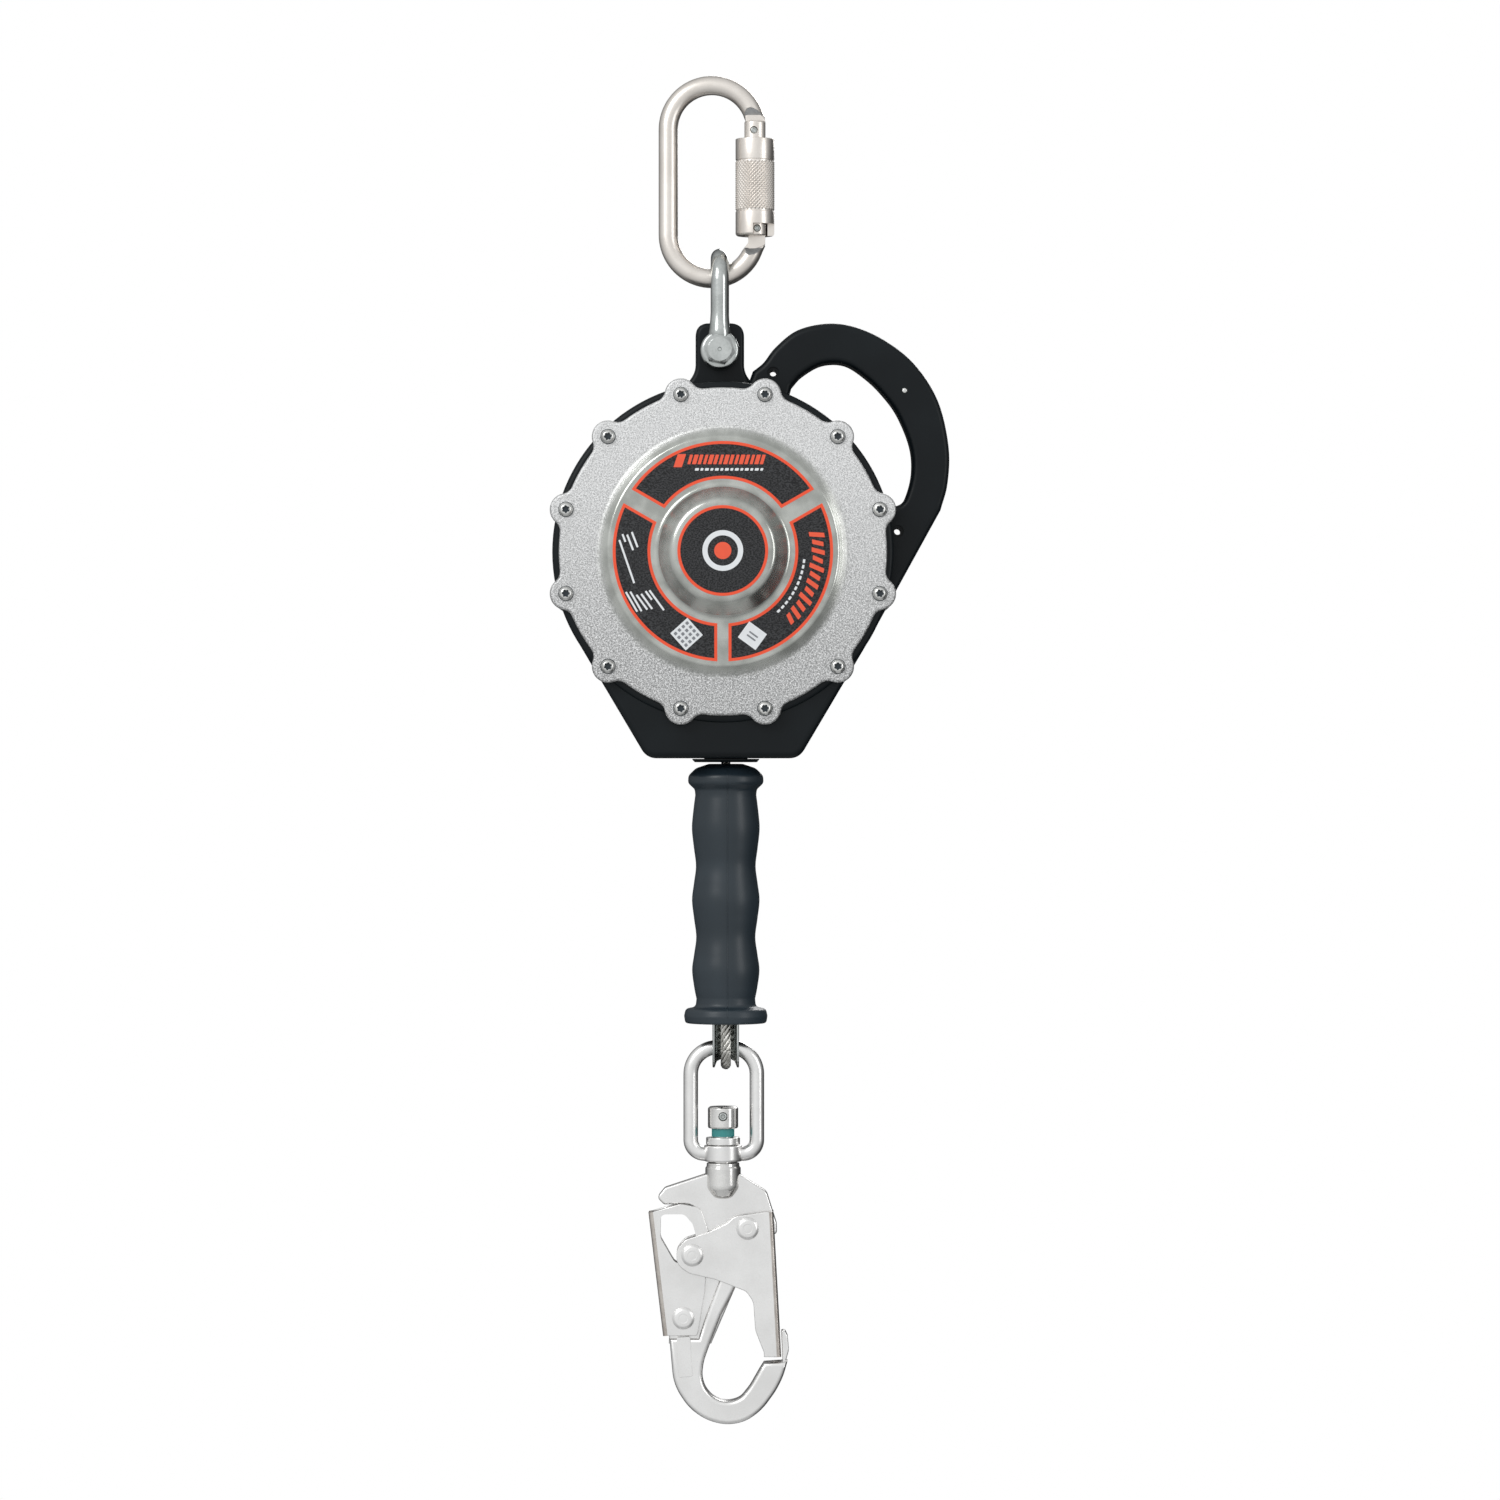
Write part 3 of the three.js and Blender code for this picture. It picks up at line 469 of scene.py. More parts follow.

# %% [markdown]
# The metals differ by how they were finished. The carabiner is zinc plated and then sealed, which leaves a
# warm satin bloom. The shackle is polished and keeps sharp reflections. The hook and its link are barrel
# plated: nearly white, with faint clouds, and brighter on the turned neck. The folds of its pressings get a
# darker steel, which is painted shade. The wire is drawn and oiled. Each one is a metal whose roughness and
# colour drift a little, over a bump that is much finer than the part.

# %% Steel finishes
def satin(name, slot, dark, light, rough, grain=900, clouds=60, height=0.02):
    finish = Finish(name, slot, Metallic=1.0)
    cloud = finish.noise(clouds, 4)
    fine = finish.noise(grain, 3, 0.6)
    mixed = (cloud * 0.7 + fine * 0.3).between(0.3, 0.7)
    finish.set("Base Color", finish.blend(mixed, (*dark, 1), (*light, 1)))
    finish.set("Roughness", rough + (1 - cloud) * 0.1 + fine * 0.1)
    finish.bump(fine, height * MM, 0.6)
    return finish


zinc = satin("carabiner_zinc", "carabiner_zinc", (0.74, 0.69, 0.64), (0.86, 0.81, 0.76), 0.24, 1500)
bright = satin("shackle_steel", "shackle_steel", (0.42, 0.44, 0.43), (0.60, 0.62, 0.61), 0.1, 700, 90, 0.01)
nickel = satin("hook_nickel", "hook_nickel", (0.78, 0.77, 0.76), (0.90, 0.89, 0.88), 0.2, 1800, 45)
polished = satin("hook_polished", "hook_nickel", (0.66, 0.65, 0.64), (0.84, 0.83, 0.81), 0.07, 1200, 60, 0.008)
# painted shade: a darker steel for the folds of the pressings, for the dark band that a turning fold shows
fold_shade = satin("hook_fold_painted_shade", "hook_nickel", (0.42, 0.38, 0.35), (0.60, 0.56, 0.52), 0.16, 1400, 120)
screw = satin("screw_steel", "screw_steel", (0.55, 0.55, 0.54), (0.74, 0.74, 0.72), 0.16, 1200)
wire = satin("wire_rope", "wire_rope", (0.42, 0.41, 0.38), (0.80, 0.79, 0.76), 0.1, 1600, 300)
inner = satin("inner_steel", "inner_steel", (0.34, 0.35, 0.36), (0.52, 0.53, 0.54), 0.25)
spring = satin("spring_steel", "spring_steel", (0.16, 0.18, 0.22), (0.34, 0.36, 0.40), 0.2)
bronze = satin("bronze", "bronze", (0.42, 0.27, 0.12), (0.60, 0.42, 0.22), 0.25)
alloy = satin("drum_alloy", "drum_alloy", (0.60, 0.61, 0.62), (0.74, 0.75, 0.76), 0.3)
metals = (zinc, bright, nickel, polished, fold_shade, screw, wire, inner, spring, bronze, alloy)
print("metals:", [finish.material.name for finish in metals])

# %% [markdown]
# The covers are cast and then tumbled. The flange keeps a coarse frosted grain, while the dome was pressed
# smooth, so grain and roughness grow with the distance from the hub. Towards the low side the flange's colour
# is darkened between its grains as painted shade, as if lit from above. The distance comes from Object
# coordinates, which makes the change follow the casting. Rings as fine as a lathe's feed catch the light on the
# dome.

# %% Cast cover
def from_axis(finish, centre):
    """The distance in metres from an axis along Y."""
    shift = {0: finish.place, 1: (centre.x * MM, 0, centre.z * MM)}
    moved = finish.node("VectorMath", {"operation": "SUBTRACT"}, shift)
    flat = finish.node("VectorMath", {"operation": "MULTIPLY"}, {0: moved, 1: (1, 0, 1)})
    return finish.node("VectorMath", {"operation": "LENGTH"}, {0: flat}, "Value"), flat


cast = Finish("cover_cast", "cover_cast", Metallic=1.0)
COARSE = 1150                                    # grains in a metre
reach, flat = from_axis(cast, HUB)
flange = reach.between(59 * MM, 65 * MM)
coarse = cast.noise(COARSE, 2, 0.7)
pits = cast.noise(2 * COARSE, 2, 0.6)
grain = (coarse * 0.6 + pits * 0.4).between(0.36, 0.64)
# painted shade: the low side of the flange is darkened towards a dark grey between its bright grains
painted_low_shade = cast.node("SeparateXYZ", {}, {0: flat}, "Z").between(60 * MM, -80 * MM)
frost_and_low_shade = cast.blend(grain, (0.46, 0.46, 0.46, 1), (0.86, 0.86, 0.86, 1))
frost_and_low_shade = cast.blend(painted_low_shade * (1 - grain), frost_and_low_shade, (0.26, 0.26, 0.26, 1))
pressed = cast.blend(cast.noise(70, 4).between(0.35, 0.65), (0.37, 0.38, 0.355, 1), (0.52, 0.53, 0.50, 1))
cast.set("Base Color", cast.blend(flange, pressed, frost_and_low_shade))
cast.set("Roughness", 0.17 + flange * 0.24 + cast.noise(120, 3) * 0.08 + grain * flange * 0.08)
feed = reach * 5200
rings = feed.maths("SINE", feed)
cast.bump(grain * flange + pits * 0.14 + rings * (1 - flange) * 0.03, 0.09 * MM, 0.8)
print("cast cover grain, mm:", round(1000 / COARSE, 2))

# %% [markdown]
# Black plastic is never black: a moulded casing reflects the sky as a soft blue grey. The casing has a
# fine spark texture, and the grip is a softer rubber that is duller and a little smoother. Wear shows as
# slightly paler patches, far less than a value step.

# %% Plastics and rubber
def moulded(name, slot, dark, light, rough, grain, height, shine=0.5):
    finish = Finish(name, slot, Specular_IOR_Level=shine)
    spark = finish.noise(grain, 2, 0.6)
    patch = finish.noise(28, 4)
    finish.set("Base Color", finish.blend(patch.between(0.35, 0.75), (*dark, 1), (*light, 1)))
    finish.set("Roughness", rough + patch * 0.12 + spark * 0.06)
    finish.bump(spark, height * MM, 0.7)
    return finish


casing = moulded("casing_plastic", "casing_plastic", (0.0025, 0.0045, 0.006), (0.005, 0.008, 0.010), 0.3,
                 1900, 0.05, shine=0.2)
rubber = moulded("grip_rubber", "grip_rubber", (0.012, 0.021, 0.029), (0.020, 0.032, 0.043), 0.3, 1300, 0.04)
teal = moulded("indicator_teal", "indicator_teal", (0.03, 0.22, 0.22), (0.05, 0.30, 0.29), 0.35, 900, 0.02)
lining = moulded("friction_lining", "friction_lining", (0.05, 0.035, 0.025), (0.11, 0.08, 0.06), 0.7, 700, 0.2)
print("plastics:", casing.material.name, rubber.material.name, teal.material.name, lining.material.name)

# %% [markdown]
# The stickers are black vinyl with a leather-like print, and each one has an even orange-red border. One
# material draws it from how near a point is to the edge of its sticker: the nearest of the inner circle, the
# outer circle and the three straight gaps. The words, codes and marks of the real stickers are left out;
# plain bars and panels stand where they were.

# %% Sticker vinyl
RING_IN, RING_OUT, DISC = 36.3, 55.3, 22.7      # radii of the ring stickers and the middle one
GAPS = {60: 4.0, 180: 2.8, 300: 4.0}            # where the ring is parted, clockwise, and half of each gap
BORDER = 1.5

vinyl = Finish("sticker_vinyl", "casing_plastic", Specular_IOR_Level=0.3)
reach, flat = from_axis(vinyl, HUB)
from_inside = reach - RING_IN * MM
edge = from_inside.maths("MINIMUM", from_inside, RING_OUT * MM - reach)
for angle, half in GAPS.items():
    along = (math.sin(math.radians(angle)), 0, math.cos(math.radians(angle)))
    across = (along[2], 0, -along[0])
    side = vinyl.node("VectorMath", {"operation": "DOT_PRODUCT"}, {0: flat, 1: along}, "Value")
    off = vinyl.node("VectorMath", {"operation": "DOT_PRODUCT"}, {0: flat, 1: across}, "Value")
    away = off.maths("ABSOLUTE", off) - half * MM
    edge = edge.maths("MINIMUM", edge, away + side.maths("LESS_THAN", side, 0))
in_disc = reach.maths("LESS_THAN", reach, 30 * MM)
edge = edge + in_disc * (DISC * MM - reach - edge)
border = edge.maths("LESS_THAN", edge, BORDER * MM)
creased = vinyl.stretch(1100, 1100, 1800)
leather = vinyl.noise(1.0, 3, 0.55, creased).between(0.44, 0.58)
black = vinyl.blend(leather, (0.006, 0.006, 0.007, 1), (0.040, 0.041, 0.044, 1))
vinyl.set("Base Color", vinyl.blend(border, black, (0.86, 0.09, 0.035, 1)))
vinyl.set("Roughness", 0.34 + leather * 0.14)
vinyl.bump(leather, 0.08 * MM, 0.7)


def printed(name, colour):
    finish = Finish(name, "casing_plastic")
    cloud = finish.noise(300, 3)
    shade = tuple(0.86 * value for value in colour)
    finish.set("Base Color", finish.blend(cloud, (*shade, 1), (*colour, 1)))
    finish.set("Roughness", 0.4 + cloud * 0.1)
    return finish


pale_ink = printed("pale_ink", (0.80, 0.82, 0.84))
orange_ink = printed("orange_ink", (0.88, 0.10, 0.04))
grey_ink = printed("grey_ink", (0.22, 0.23, 0.25))
print("sticker ring", RING_IN, "to", RING_OUT, "mm, border", BORDER, "mm")

# %% [markdown]
# Each cover is one casting: a flat flange with twelve lobes for the screws, a pressed plateau, and a boss in
# the middle over the end of the shaft. The flange is an outline of arcs, where small fillets run from the
# rim into each lobe. The dome is a turned half section, hollow inside, so that the drum has room to turn.
# The rear cover is the same casting turned round, so one function makes both from the side that it faces.

# %% Cover outline
RIM, LOBE, SCREW_CIRCLE, FILLET = 82.5, 8.2, 81.6, 6.0
SCREW_ANGLES = [75 - 30 * i for i in range(12)]
COVER_Y = 28.3                                   # where a cover meets the casing
hub = Vector((HUB.x, HUB.z))
HUB_AXIS = (HUB.x, 0, HUB.z)


def towards(angle, distance):
    return Vector((distance * math.cos(math.radians(angle)), distance * math.sin(math.radians(angle))))


def lobed_rim():
    """The edge of the cover: rim, fillet, lobe and fillet, twelve times."""
    reach = RIM + FILLET
    cosine = (reach ** 2 + SCREW_CIRCLE ** 2 - (LOBE + FILLET) ** 2) / (2 * SCREW_CIRCLE * reach)
    swing = math.degrees(math.acos(cosine))
    points = []
    for angle in SCREW_ANGLES:
        middle_of_lobe = towards(angle, SCREW_CIRCLE)
        for side in (1, -1):
            fillet_at = towards(angle + side * swing, reach)
            to_lobe = (middle_of_lobe - fillet_at).normalized()
            to_rim = -fillet_at.normalized()
            run = [to_rim.lerp(to_lobe, k / 5).normalized() * FILLET + fillet_at for k in range(6)]
            points += run if side > 0 else run[::-1]
            if side > 0:
                first = math.atan2(-to_lobe.y, -to_lobe.x) - math.radians(angle)
                first = (first + math.pi) % math.tau - math.pi
                ends = angle + math.degrees(first), angle - math.degrees(first)
                points += arc(*middle_of_lobe, LOBE, *ends, steps=12)[1:-1]
        points += arc(0, 0, RIM, angle - swing, angle - 30 + swing, steps=4)[1:-1]
    return [point + hub for point in points]


print("cover outline:", len(lobed_rim()), "points")


# %% Covers
FLANGE_Y, BOSS_Y = 33.1, 46                      # the faces of the flange and of the boss
DOME = [(0, BOSS_Y), (25.6, BOSS_Y, 5), (33.2, 37.5, 4), (57.6, 36.2, 2.6), (62.6, FLANGE_Y + 0.04, 3.5),
        (66, FLANGE_Y + 0.04)]
HOLLOW = [(66, 30), (63.8, 30), (55.5, 33), (33.5, 34), (24, 43), (0, 43)]


def cover(name, side, node):
    face = slab(lobed_rim(), side * COVER_Y, side * FLANGE_Y, 0)
    outer = lambda e: all(abs(v.co.y - side * FLANGE_Y) < 1e-3 for v in e.verts)
    round_rims(face, 1.5, 5, rule=outer)
    section = [(r, side * h) for r, h in [*rounded(DOME, 8, closed=False), *HOLLOW]]
    dome = turned(section, "y", HUB_AXIS, 144)
    face = carve(face, rod(63.6, side * 20, side * 40, HUB.x, HUB.z, 144))
    return piece(name, grown(face, dome), "housing", cast, [node])


cover("front_cover_casting", -1, "front_cover")
cover("rear_cover_casting", 1, "rear_cover")
print("cover stands", round(BOSS_Y - COVER_Y, 1), "mm proud of the casing")

# %% [markdown]
# The screws are button heads with a six-lobed drive, and their threads pass right through to the rear cover.
# The head is turned with its dome, then a star-shaped punch is carved out of it. One screw is made at the
# origin and copied to its twelve places. A thin dark disc on the floor of each drive and a thin dark ring
# round each head are painted shade, for the shadow in the recess and along the seam.

# %% Cover screws
def star(radius, dent):
    """A six-lobed outline, like the tip of a star driver."""
    turns = (math.tau * k / 60 for k in range(60))
    return [Vector((math.cos(a), math.sin(a))) * (radius - dent * (1 - math.cos(6 * a)) / 2) for a in turns]


head = turned([(0, -36.2), *rounded([(0.9, -36.2), (2.6, -35.9, 1.5), (3.5, -34.6, 1), (3.5, -33.4)], 4, False),
               (1.9, -33.2), (1.9, 30), (0, 30)], "y", steps=48)
head = carve(head, slab(star(2.0, 0.5), -37, -34.2, 0))
round_rims(head, 0.12, 2, 0.7, rule=lambda e: e.verts[0].co.y < -35.5)
for i, angle in enumerate(SCREW_ANGLES):
    at = hub + towards(angle, SCREW_CIRCLE)
    turn = Matrix.Translation((at.x, 0, at.y)) @ Matrix.Rotation(math.radians(23 * i), 4, "Y")
    copy = head.copy()
    bmesh.ops.transform(copy, matrix=turn, verts=copy.verts)
    piece(f"button_screw_{i + 1:02d}", copy, "housing", screw, [f"cover_screw_{i + 1:02d}"])
head.free()
# painted shade: a thin dark disc on each drive floor and a thin dark ring round each head
drive_and_seam_shade = []
for angle in SCREW_ANGLES:
    at = hub + towards(angle, SCREW_CIRCLE)
    drive_and_seam_shade.append(rod(2.2, -34.4, -34.1, at.x, at.y, 24))
    seam = [(3.3, -33.1), (3.85, -33.1), (3.85, -33.16), (3.3, -33.16)]
    drive_and_seam_shade.append(turned(seam, "y", (at.x, 0, at.y), 40, closed=True))
piece("screw_drive_and_seam_shade", grown(*drive_and_seam_shade), "housing", rubber, fair=False)
print("twelve screws on a circle of", SCREW_CIRCLE, "mm")

# %% [markdown]
# Vinyl stickers are a quarter of a millimetre thick. The ring is spun to follow the slight cone of the
# plateau, then three pairs of planes cut it apart, which gives the straight parallel gaps that a die
# cuts. The middle sticker is a disc on the boss. Both are drawn about the axis of the hub.

# %% Stickers
def on_plateau(radius, lift):
    return -(37.3 - (radius - 35.5) * 1.1 / 22 + lift)


ring = turned([(RING_IN, on_plateau(RING_IN, 0)), (RING_IN, on_plateau(RING_IN, 0.3)),
               (RING_OUT, on_plateau(RING_OUT, 0.3)), (RING_OUT, on_plateau(RING_OUT, 0))],
              "y", HUB_AXIS, 144, closed=True)
parts = []
around = list(GAPS)
for first, last in zip(around, around[1:] + around[:1]):
    sector = ring.copy()
    for angle, keep in ((first, 1), (last, -1)):
        a = math.radians(angle)
        across = Vector((math.cos(a), 0, -math.sin(a))) * keep
        cut = {"plane_co": Vector(HUB_AXIS) + across * GAPS[angle], "plane_no": across, "clear_inner": True}
        halves = bmesh.ops.bisect_plane(sector, geom=[*sector.verts, *sector.edges, *sector.faces], **cut)
        rim = [e for e in halves["geom_cut"] if isinstance(e, bmesh.types.BMEdge)]
        bmesh.ops.holes_fill(sector, edges=rim, sides=0)
    parts.append(sector)
ring.free()
disc = turned([(0, -46.3), (DISC - 0.1, -46.3), (DISC, -46.2), (DISC, -45.9), (0, -45.9)], "y", HUB_AXIS, 96)
piece("ring_stickers", grown(*parts, disc), "housing", vinyl)
print("three ring stickers and a disc of", DISC, "mm radius")

# %% [markdown]
# The real stickers carry words, codes and marks. None of them is copied: short pale bars stand for lines of
# print, two plain panels for the panels, a row of slanted bars for the large word, and a ring with a dot, as
# on a map of anchor points, fills the middle. All are flat prints a few hundredths of a millimetre thick.

# %% Generic print
def print_at(outline, y):
    """A thin print that leans with the cone of the plateau."""
    print_shape = slab([point + hub for point in outline], y, y + 0.12, 0)
    for vert in print_shape.verts:
        vert.co.y += (math.hypot(vert.co.x - hub.x, vert.co.z - hub.y) - 47) * 1.1 / 22
    return print_shape


def bar_at(across, up, width, height, lean=0.0, turn=0.0):
    """A bar placed across and up from the hub, turned clockwise in degrees."""
    corners = [(-width / 2 - lean, -height / 2), (width / 2 - lean, -height / 2),
               (width / 2 + lean, height / 2), (-width / 2 + lean, height / 2)]
    spin = Matrix.Rotation(-math.radians(turn), 2)
    points = rounded([(*corner, 0.25) for corner in corners], 2)
    return [spin @ Vector(point) + Vector((across, up)) for point in points]


def round_the_ring(clock, radius):
    """A place on the ring, by its angle clockwise from the top."""
    return radius * math.sin(math.radians(clock)), radius * math.cos(math.radians(clock))


PRINT_Y = on_plateau(47, 0.38)
pale, orange, grey = [], [], []

# The large bars on top, the small line under them, the slanted bars on the right and their small line
orange.append(print_at(bar_at(-21.6, 45.4, 4.2, 6.6, 1.1), PRINT_Y))
for k in range(15):
    orange.append(print_at(bar_at(-16.4 + 2.6 * k, 46, (1.5, 2.1, 1.7)[k % 3], 4.8, 0.7), PRINT_Y))
for k in range(14):
    pale.append(print_at(bar_at(-13 + 2.5 * k, 41, (1.9, 1.4)[k % 2], 1.3, 0.2), PRINT_Y))
for k, clock in enumerate(range(80, 138, 5)):
    height = (7.6, 5.6, 6.6, 5.2)[k % 4]
    orange.append(print_at(bar_at(*round_the_ring(clock, 47.8), 2.3, height, 0.9, clock), PRINT_Y))
for clock in range(97, 139, 4):
    pale.append(print_at(bar_at(*round_the_ring(clock, 41), 1.9, 1.2, 0.0, clock), PRINT_Y))

# The lines on the left, and the two panels below with their plain squares and bars
LINES = [(-44.2, 5.8, 8.2, 69), (-46.5, 4.4, 8.4, 69), (-49.6, 6.6, 4.2, 69), (-48.2, -5.2, 23, 71),
         (-33.2, -24.6, 12.4, 54), (-37.2, -22.2, 5.4, 54), (-38.2, -25.2, 9.4, 54), (-40.6, -25.6, 9.2, 54),
         (-43.6, -25.2, 11.4, 60), (-45.8, -25.4, 11.4, 60)]
for across, up, length, turn in LINES:
    pale.append(print_at(bar_at(across, up, length, 1.0, 0, turn), PRINT_Y))
pale.append(print_at(bar_at(-18.2, -41.6, 11.6, 11.6, 0, -42), PRINT_Y))
pale.append(print_at(bar_at(14.8, -42.4, 11, 9.8, 0, 36), PRINT_Y))
for row in range(4):
    for column in range(4):
        spin = Matrix.Rotation(math.radians(42), 2)
        at = spin @ Vector((-3.9 + 2.6 * column, -3.9 + 2.6 * row)) + Vector((-18.2, -41.6))
        grey.append(print_at(bar_at(at.x, at.y, 1.5, 1.5, 0, -42), PRINT_Y - 0.1))
grey.append(print_at(bar_at(15.4, -41.8, 5.2, 0.8, 0, 36), PRINT_Y - 0.1))
grey.append(print_at(bar_at(14.2, -43.4, 5.2, 0.8, 0, 36), PRINT_Y - 0.1))
emblem = turned([(7.6, -46.42), (10.2, -46.42), (10.2, -46.2), (7.6, -46.2)], "y", HUB_AXIS, 64, closed=True)
dot = turned([(0, -46.42), (4.3, -46.42), (4.3, -46.2), (0, -46.2)], "y", HUB_AXIS, 48)
piece("pale_print", grown(*pale, emblem), "housing", pale_ink, fair=False)
piece("orange_print", grown(*orange, dot), "housing", orange_ink, fair=False)
piece("grey_print", grown(*grey), "housing", grey_ink, fair=False)
print("prints:", len(pale) + len(orange) + len(grey), "plain shapes")

# %% [markdown]
# The casing is moulded in two halves that part on the middle plane. Behind the cover it is a ring round the
# drum, with a boss at each screw. A tapered nose grows down to the cable outlet, a lug stands up to the
# shackle, and one broad arm sweeps round as the carry handle. Each is a plate with soft rims, and together
# they overlap into one half, as the mould's ribs do. The same function makes both halves.

# %% Casing outlines
def from_hub(points):
    return [Vector(point) + hub for point in points]


LUG_X, LUG_TOP, NOSE_BOTTOM = BOLT.x - HUB.x, 116.7, -103.9
nose_line = rounded([(-74.7, -42.5), (-38.4, NOSE_BOTTOM, 9), (38.4, NOSE_BOTTOM, 9), (74.7, -42.5)], 10)
nose_outline = from_hub([*nose_line, *arc(0, 0, 68, -32, -148, 24)])
lug_outline = from_hub(rounded([(LUG_X - 30, 66), (LUG_X - 22, 78), (LUG_X - 12.3, 92, 12),
                                (LUG_X - 12.3, LUG_TOP, 7), (LUG_X + 12.3, LUG_TOP, 7),
                                (LUG_X + 12.3, 92, 12), (LUG_X + 22, 78), (LUG_X + 30, 66)], 8))
back_of_arm = flowing([(15, 92), (20.5, 96.5), (26.3, 104), (37, 112.6), (51.2, 116.2), (64.9, 115.1),
                       (80.7, 108.5), (96.4, 96.3), (108.6, 77.6), (114.2, 54.2), (113.7, 35.4),
                       (110.1, 21.7)])
palm_side = flowing([(84.5, 24.5), (88.6, 24.2), (92.2, 28), (95.4, 40), (94.6, 54), (88.3, 69.9), (80.7, 80.5),
                     (72, 89), (61.5, 95.6), (50, 95.6), (40, 90), (34.6, 84.2)])
arm_outline = from_hub([(10, 78), *back_of_arm, (74.7, -42.5), *arc(0, 0, 74, -29, 13, 8), *palm_side,
                        *arc(0, 0, 74, 66, 80, 4)])
print("handle outline:", len(arm_outline), "points")


# %% Casing halves
DRILLED = ((88.3, 11), (25.3, 91.2))             # through the root of the handle, and beside the lug


def casing_half(name, side, node):
    def plate(outline, thick, soft):
        shape = slab(outline, side * 0.15, side * thick, 0)
        outer = lambda e: all(abs(v.co.y - side * thick) < 1e-3 for v in e.verts)
        return round_rims(shape, soft, 5, rule=outer)

    def spun(profile, at, steps):
        return turned([(r, side * y) for r, y in profile], "y", (at.x, 0, at.y), steps, closed=True)

    shell = rounded([(66.5, 0.15), (85.7, 0.15), (86, 0.5), (86, 28, 3), (66.5, 28)], 5)
    boss = rounded([(3, 0.15), (7.5, 0.15), (7.8, 0.5), (7.8, 28, 1), (3, 28)], 4)
    parts = [spun(shell, hub, 128)]
    parts += [spun(boss, hub + towards(angle, SCREW_CIRCLE), 32) for angle in SCREW_ANGLES]
    nose = plate(nose_outline, 26, 3.5)
    way = turned([(0, -110), (11.4, -110), (11.4, -60), (0, -60)], "z", (LINE.x, 0, HUB.z), 48)
    parts.append(carve(nose, way, block((-4, -6, -345), (18, 6, -300))))
    arm = plate(arm_outline, 11, 3.2)
    drills = []
    for x, z in DRILLED:
        at = Vector((x, z)) + hub
        drills += [rod(1.7, -30, 30, *at), rod(3.1, side * 9.4, side * 14, *at)]
    parts.append(carve(arm, *drills))
    lug = plate(lug_outline, 7.5, 2.4)
    parts.append(carve(lug, rod(4.9, -12, 12, BOLT.x, BOLT.z), block((-31, -2.3, -160), (40, 2.3, -119))))
    return piece(name, grown(*parts), "housing", casing, [node])


casing_half("casing_front_half", -1, "front_casing")
casing_half("casing_rear_half", 1, "rear_casing")
tip = [(0, -11.9), *rounded([(0.5, -11.9), (1.2, -11.7, 0.4), (1.4, -11)], 3, False), (1.4, 11), (0, 11)]
piece("handle_pin", turned(tip, "y", (HUB.x + 91.8, 0, HUB.z + 82.2), 24), "housing", screw)
print("parting line 0.3 mm wide, nose down to", round(HUB.z + NOSE_BOTTOM, 1), "mm")

# %% [markdown]
# Below the nose a plastic collar guides the rope. It is turned: a stem in the casing, a flange that seats
# against it, and a throat that opens downwards so that the rope never runs over an edge.

# %% Outlet guide
THROAT = 3
guide = rounded([(THROAT, -89), (THROAT, -99), (5.5, -105.9, 1.5), (15.8, -105.9, 0.8), (17, -104.6, 0.5),
                 (17, -104.2), (11.1, -104.2), (11.1, -84), (6.5, -84)], 5)
collar = turned(guide, "z", (LINE.x, 0, HUB.z), 64, closed=True)
piece("outlet_collar", collar, "housing", casing, ["outlet_guide"])
low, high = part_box("cable_run")
print("throat", 2 * THROAT, "mm wide for a rope of", round((high.x - low.x) / MM, 1), "mm")

# %% [markdown]
# The carabiner is one bar of steel, bent to an oval and flattened to a tang at each end, where the gate
# hinges and latches. The bar is bent along arcs, and wedges mill each end down on both faces, which leaves
# a sloping chamfer and the bright flat. Each slope is darkened as painted shade: what the bar shares with a
# thin layer there is a piece of its own in darker steel. The tangs are thin plates.

# %% Carabiner bar
BAR, BEND, LOW_BEND, TOP_BEND = 4.9, 22.2, -70.9, -17.3
TANG = 2.75                                      # half its thickness
path = [(22.6, -74.6), *arc(0, LOW_BEND, BEND, -18, -180, 40), *arc(0, TOP_BEND, BEND, 180, 18, 40),
        (22.6, -13.6)]
bar = bent([(x, 0, z) for x, z in path], BAR, sides=12)


def across_bar(side, points):
    """An outline in Y and Z as a cut across the end of the bar."""
    cut = slab([Vector((side * y, z)) for y, z in points], -40, -10, 0)
    bmesh.ops.rotate(cut, verts=cut.verts, cent=(0, 0, 0), matrix=Matrix.Rotation(math.radians(90), 3, "Z"))
    return cut


def wedge(side, flat, slope):
    back = flat - 3 * slope
    return across_bar(side, [(2.5, flat), (8, flat + slope), (12, flat + slope), (12, back), (2.5, back)])


def slope_shade_skin(side, flat, slope):
    """The thin layer on a milled slope that takes the painted shade, in darker steel."""
    start, end = Vector((2.5, flat)), Vector((8, flat + slope))
    out = Vector((abs(slope), -5.5 if slope > 0 else 5.5)).normalized()
    return across_bar(side, [start - out * 0.2, end - out * 0.2, end + out * 0.05, start + out * 0.05])


ENDS = [(side, *end) for side in (1, -1) for end in ((-10.6, 8.2), (-77.7, -8.2))]
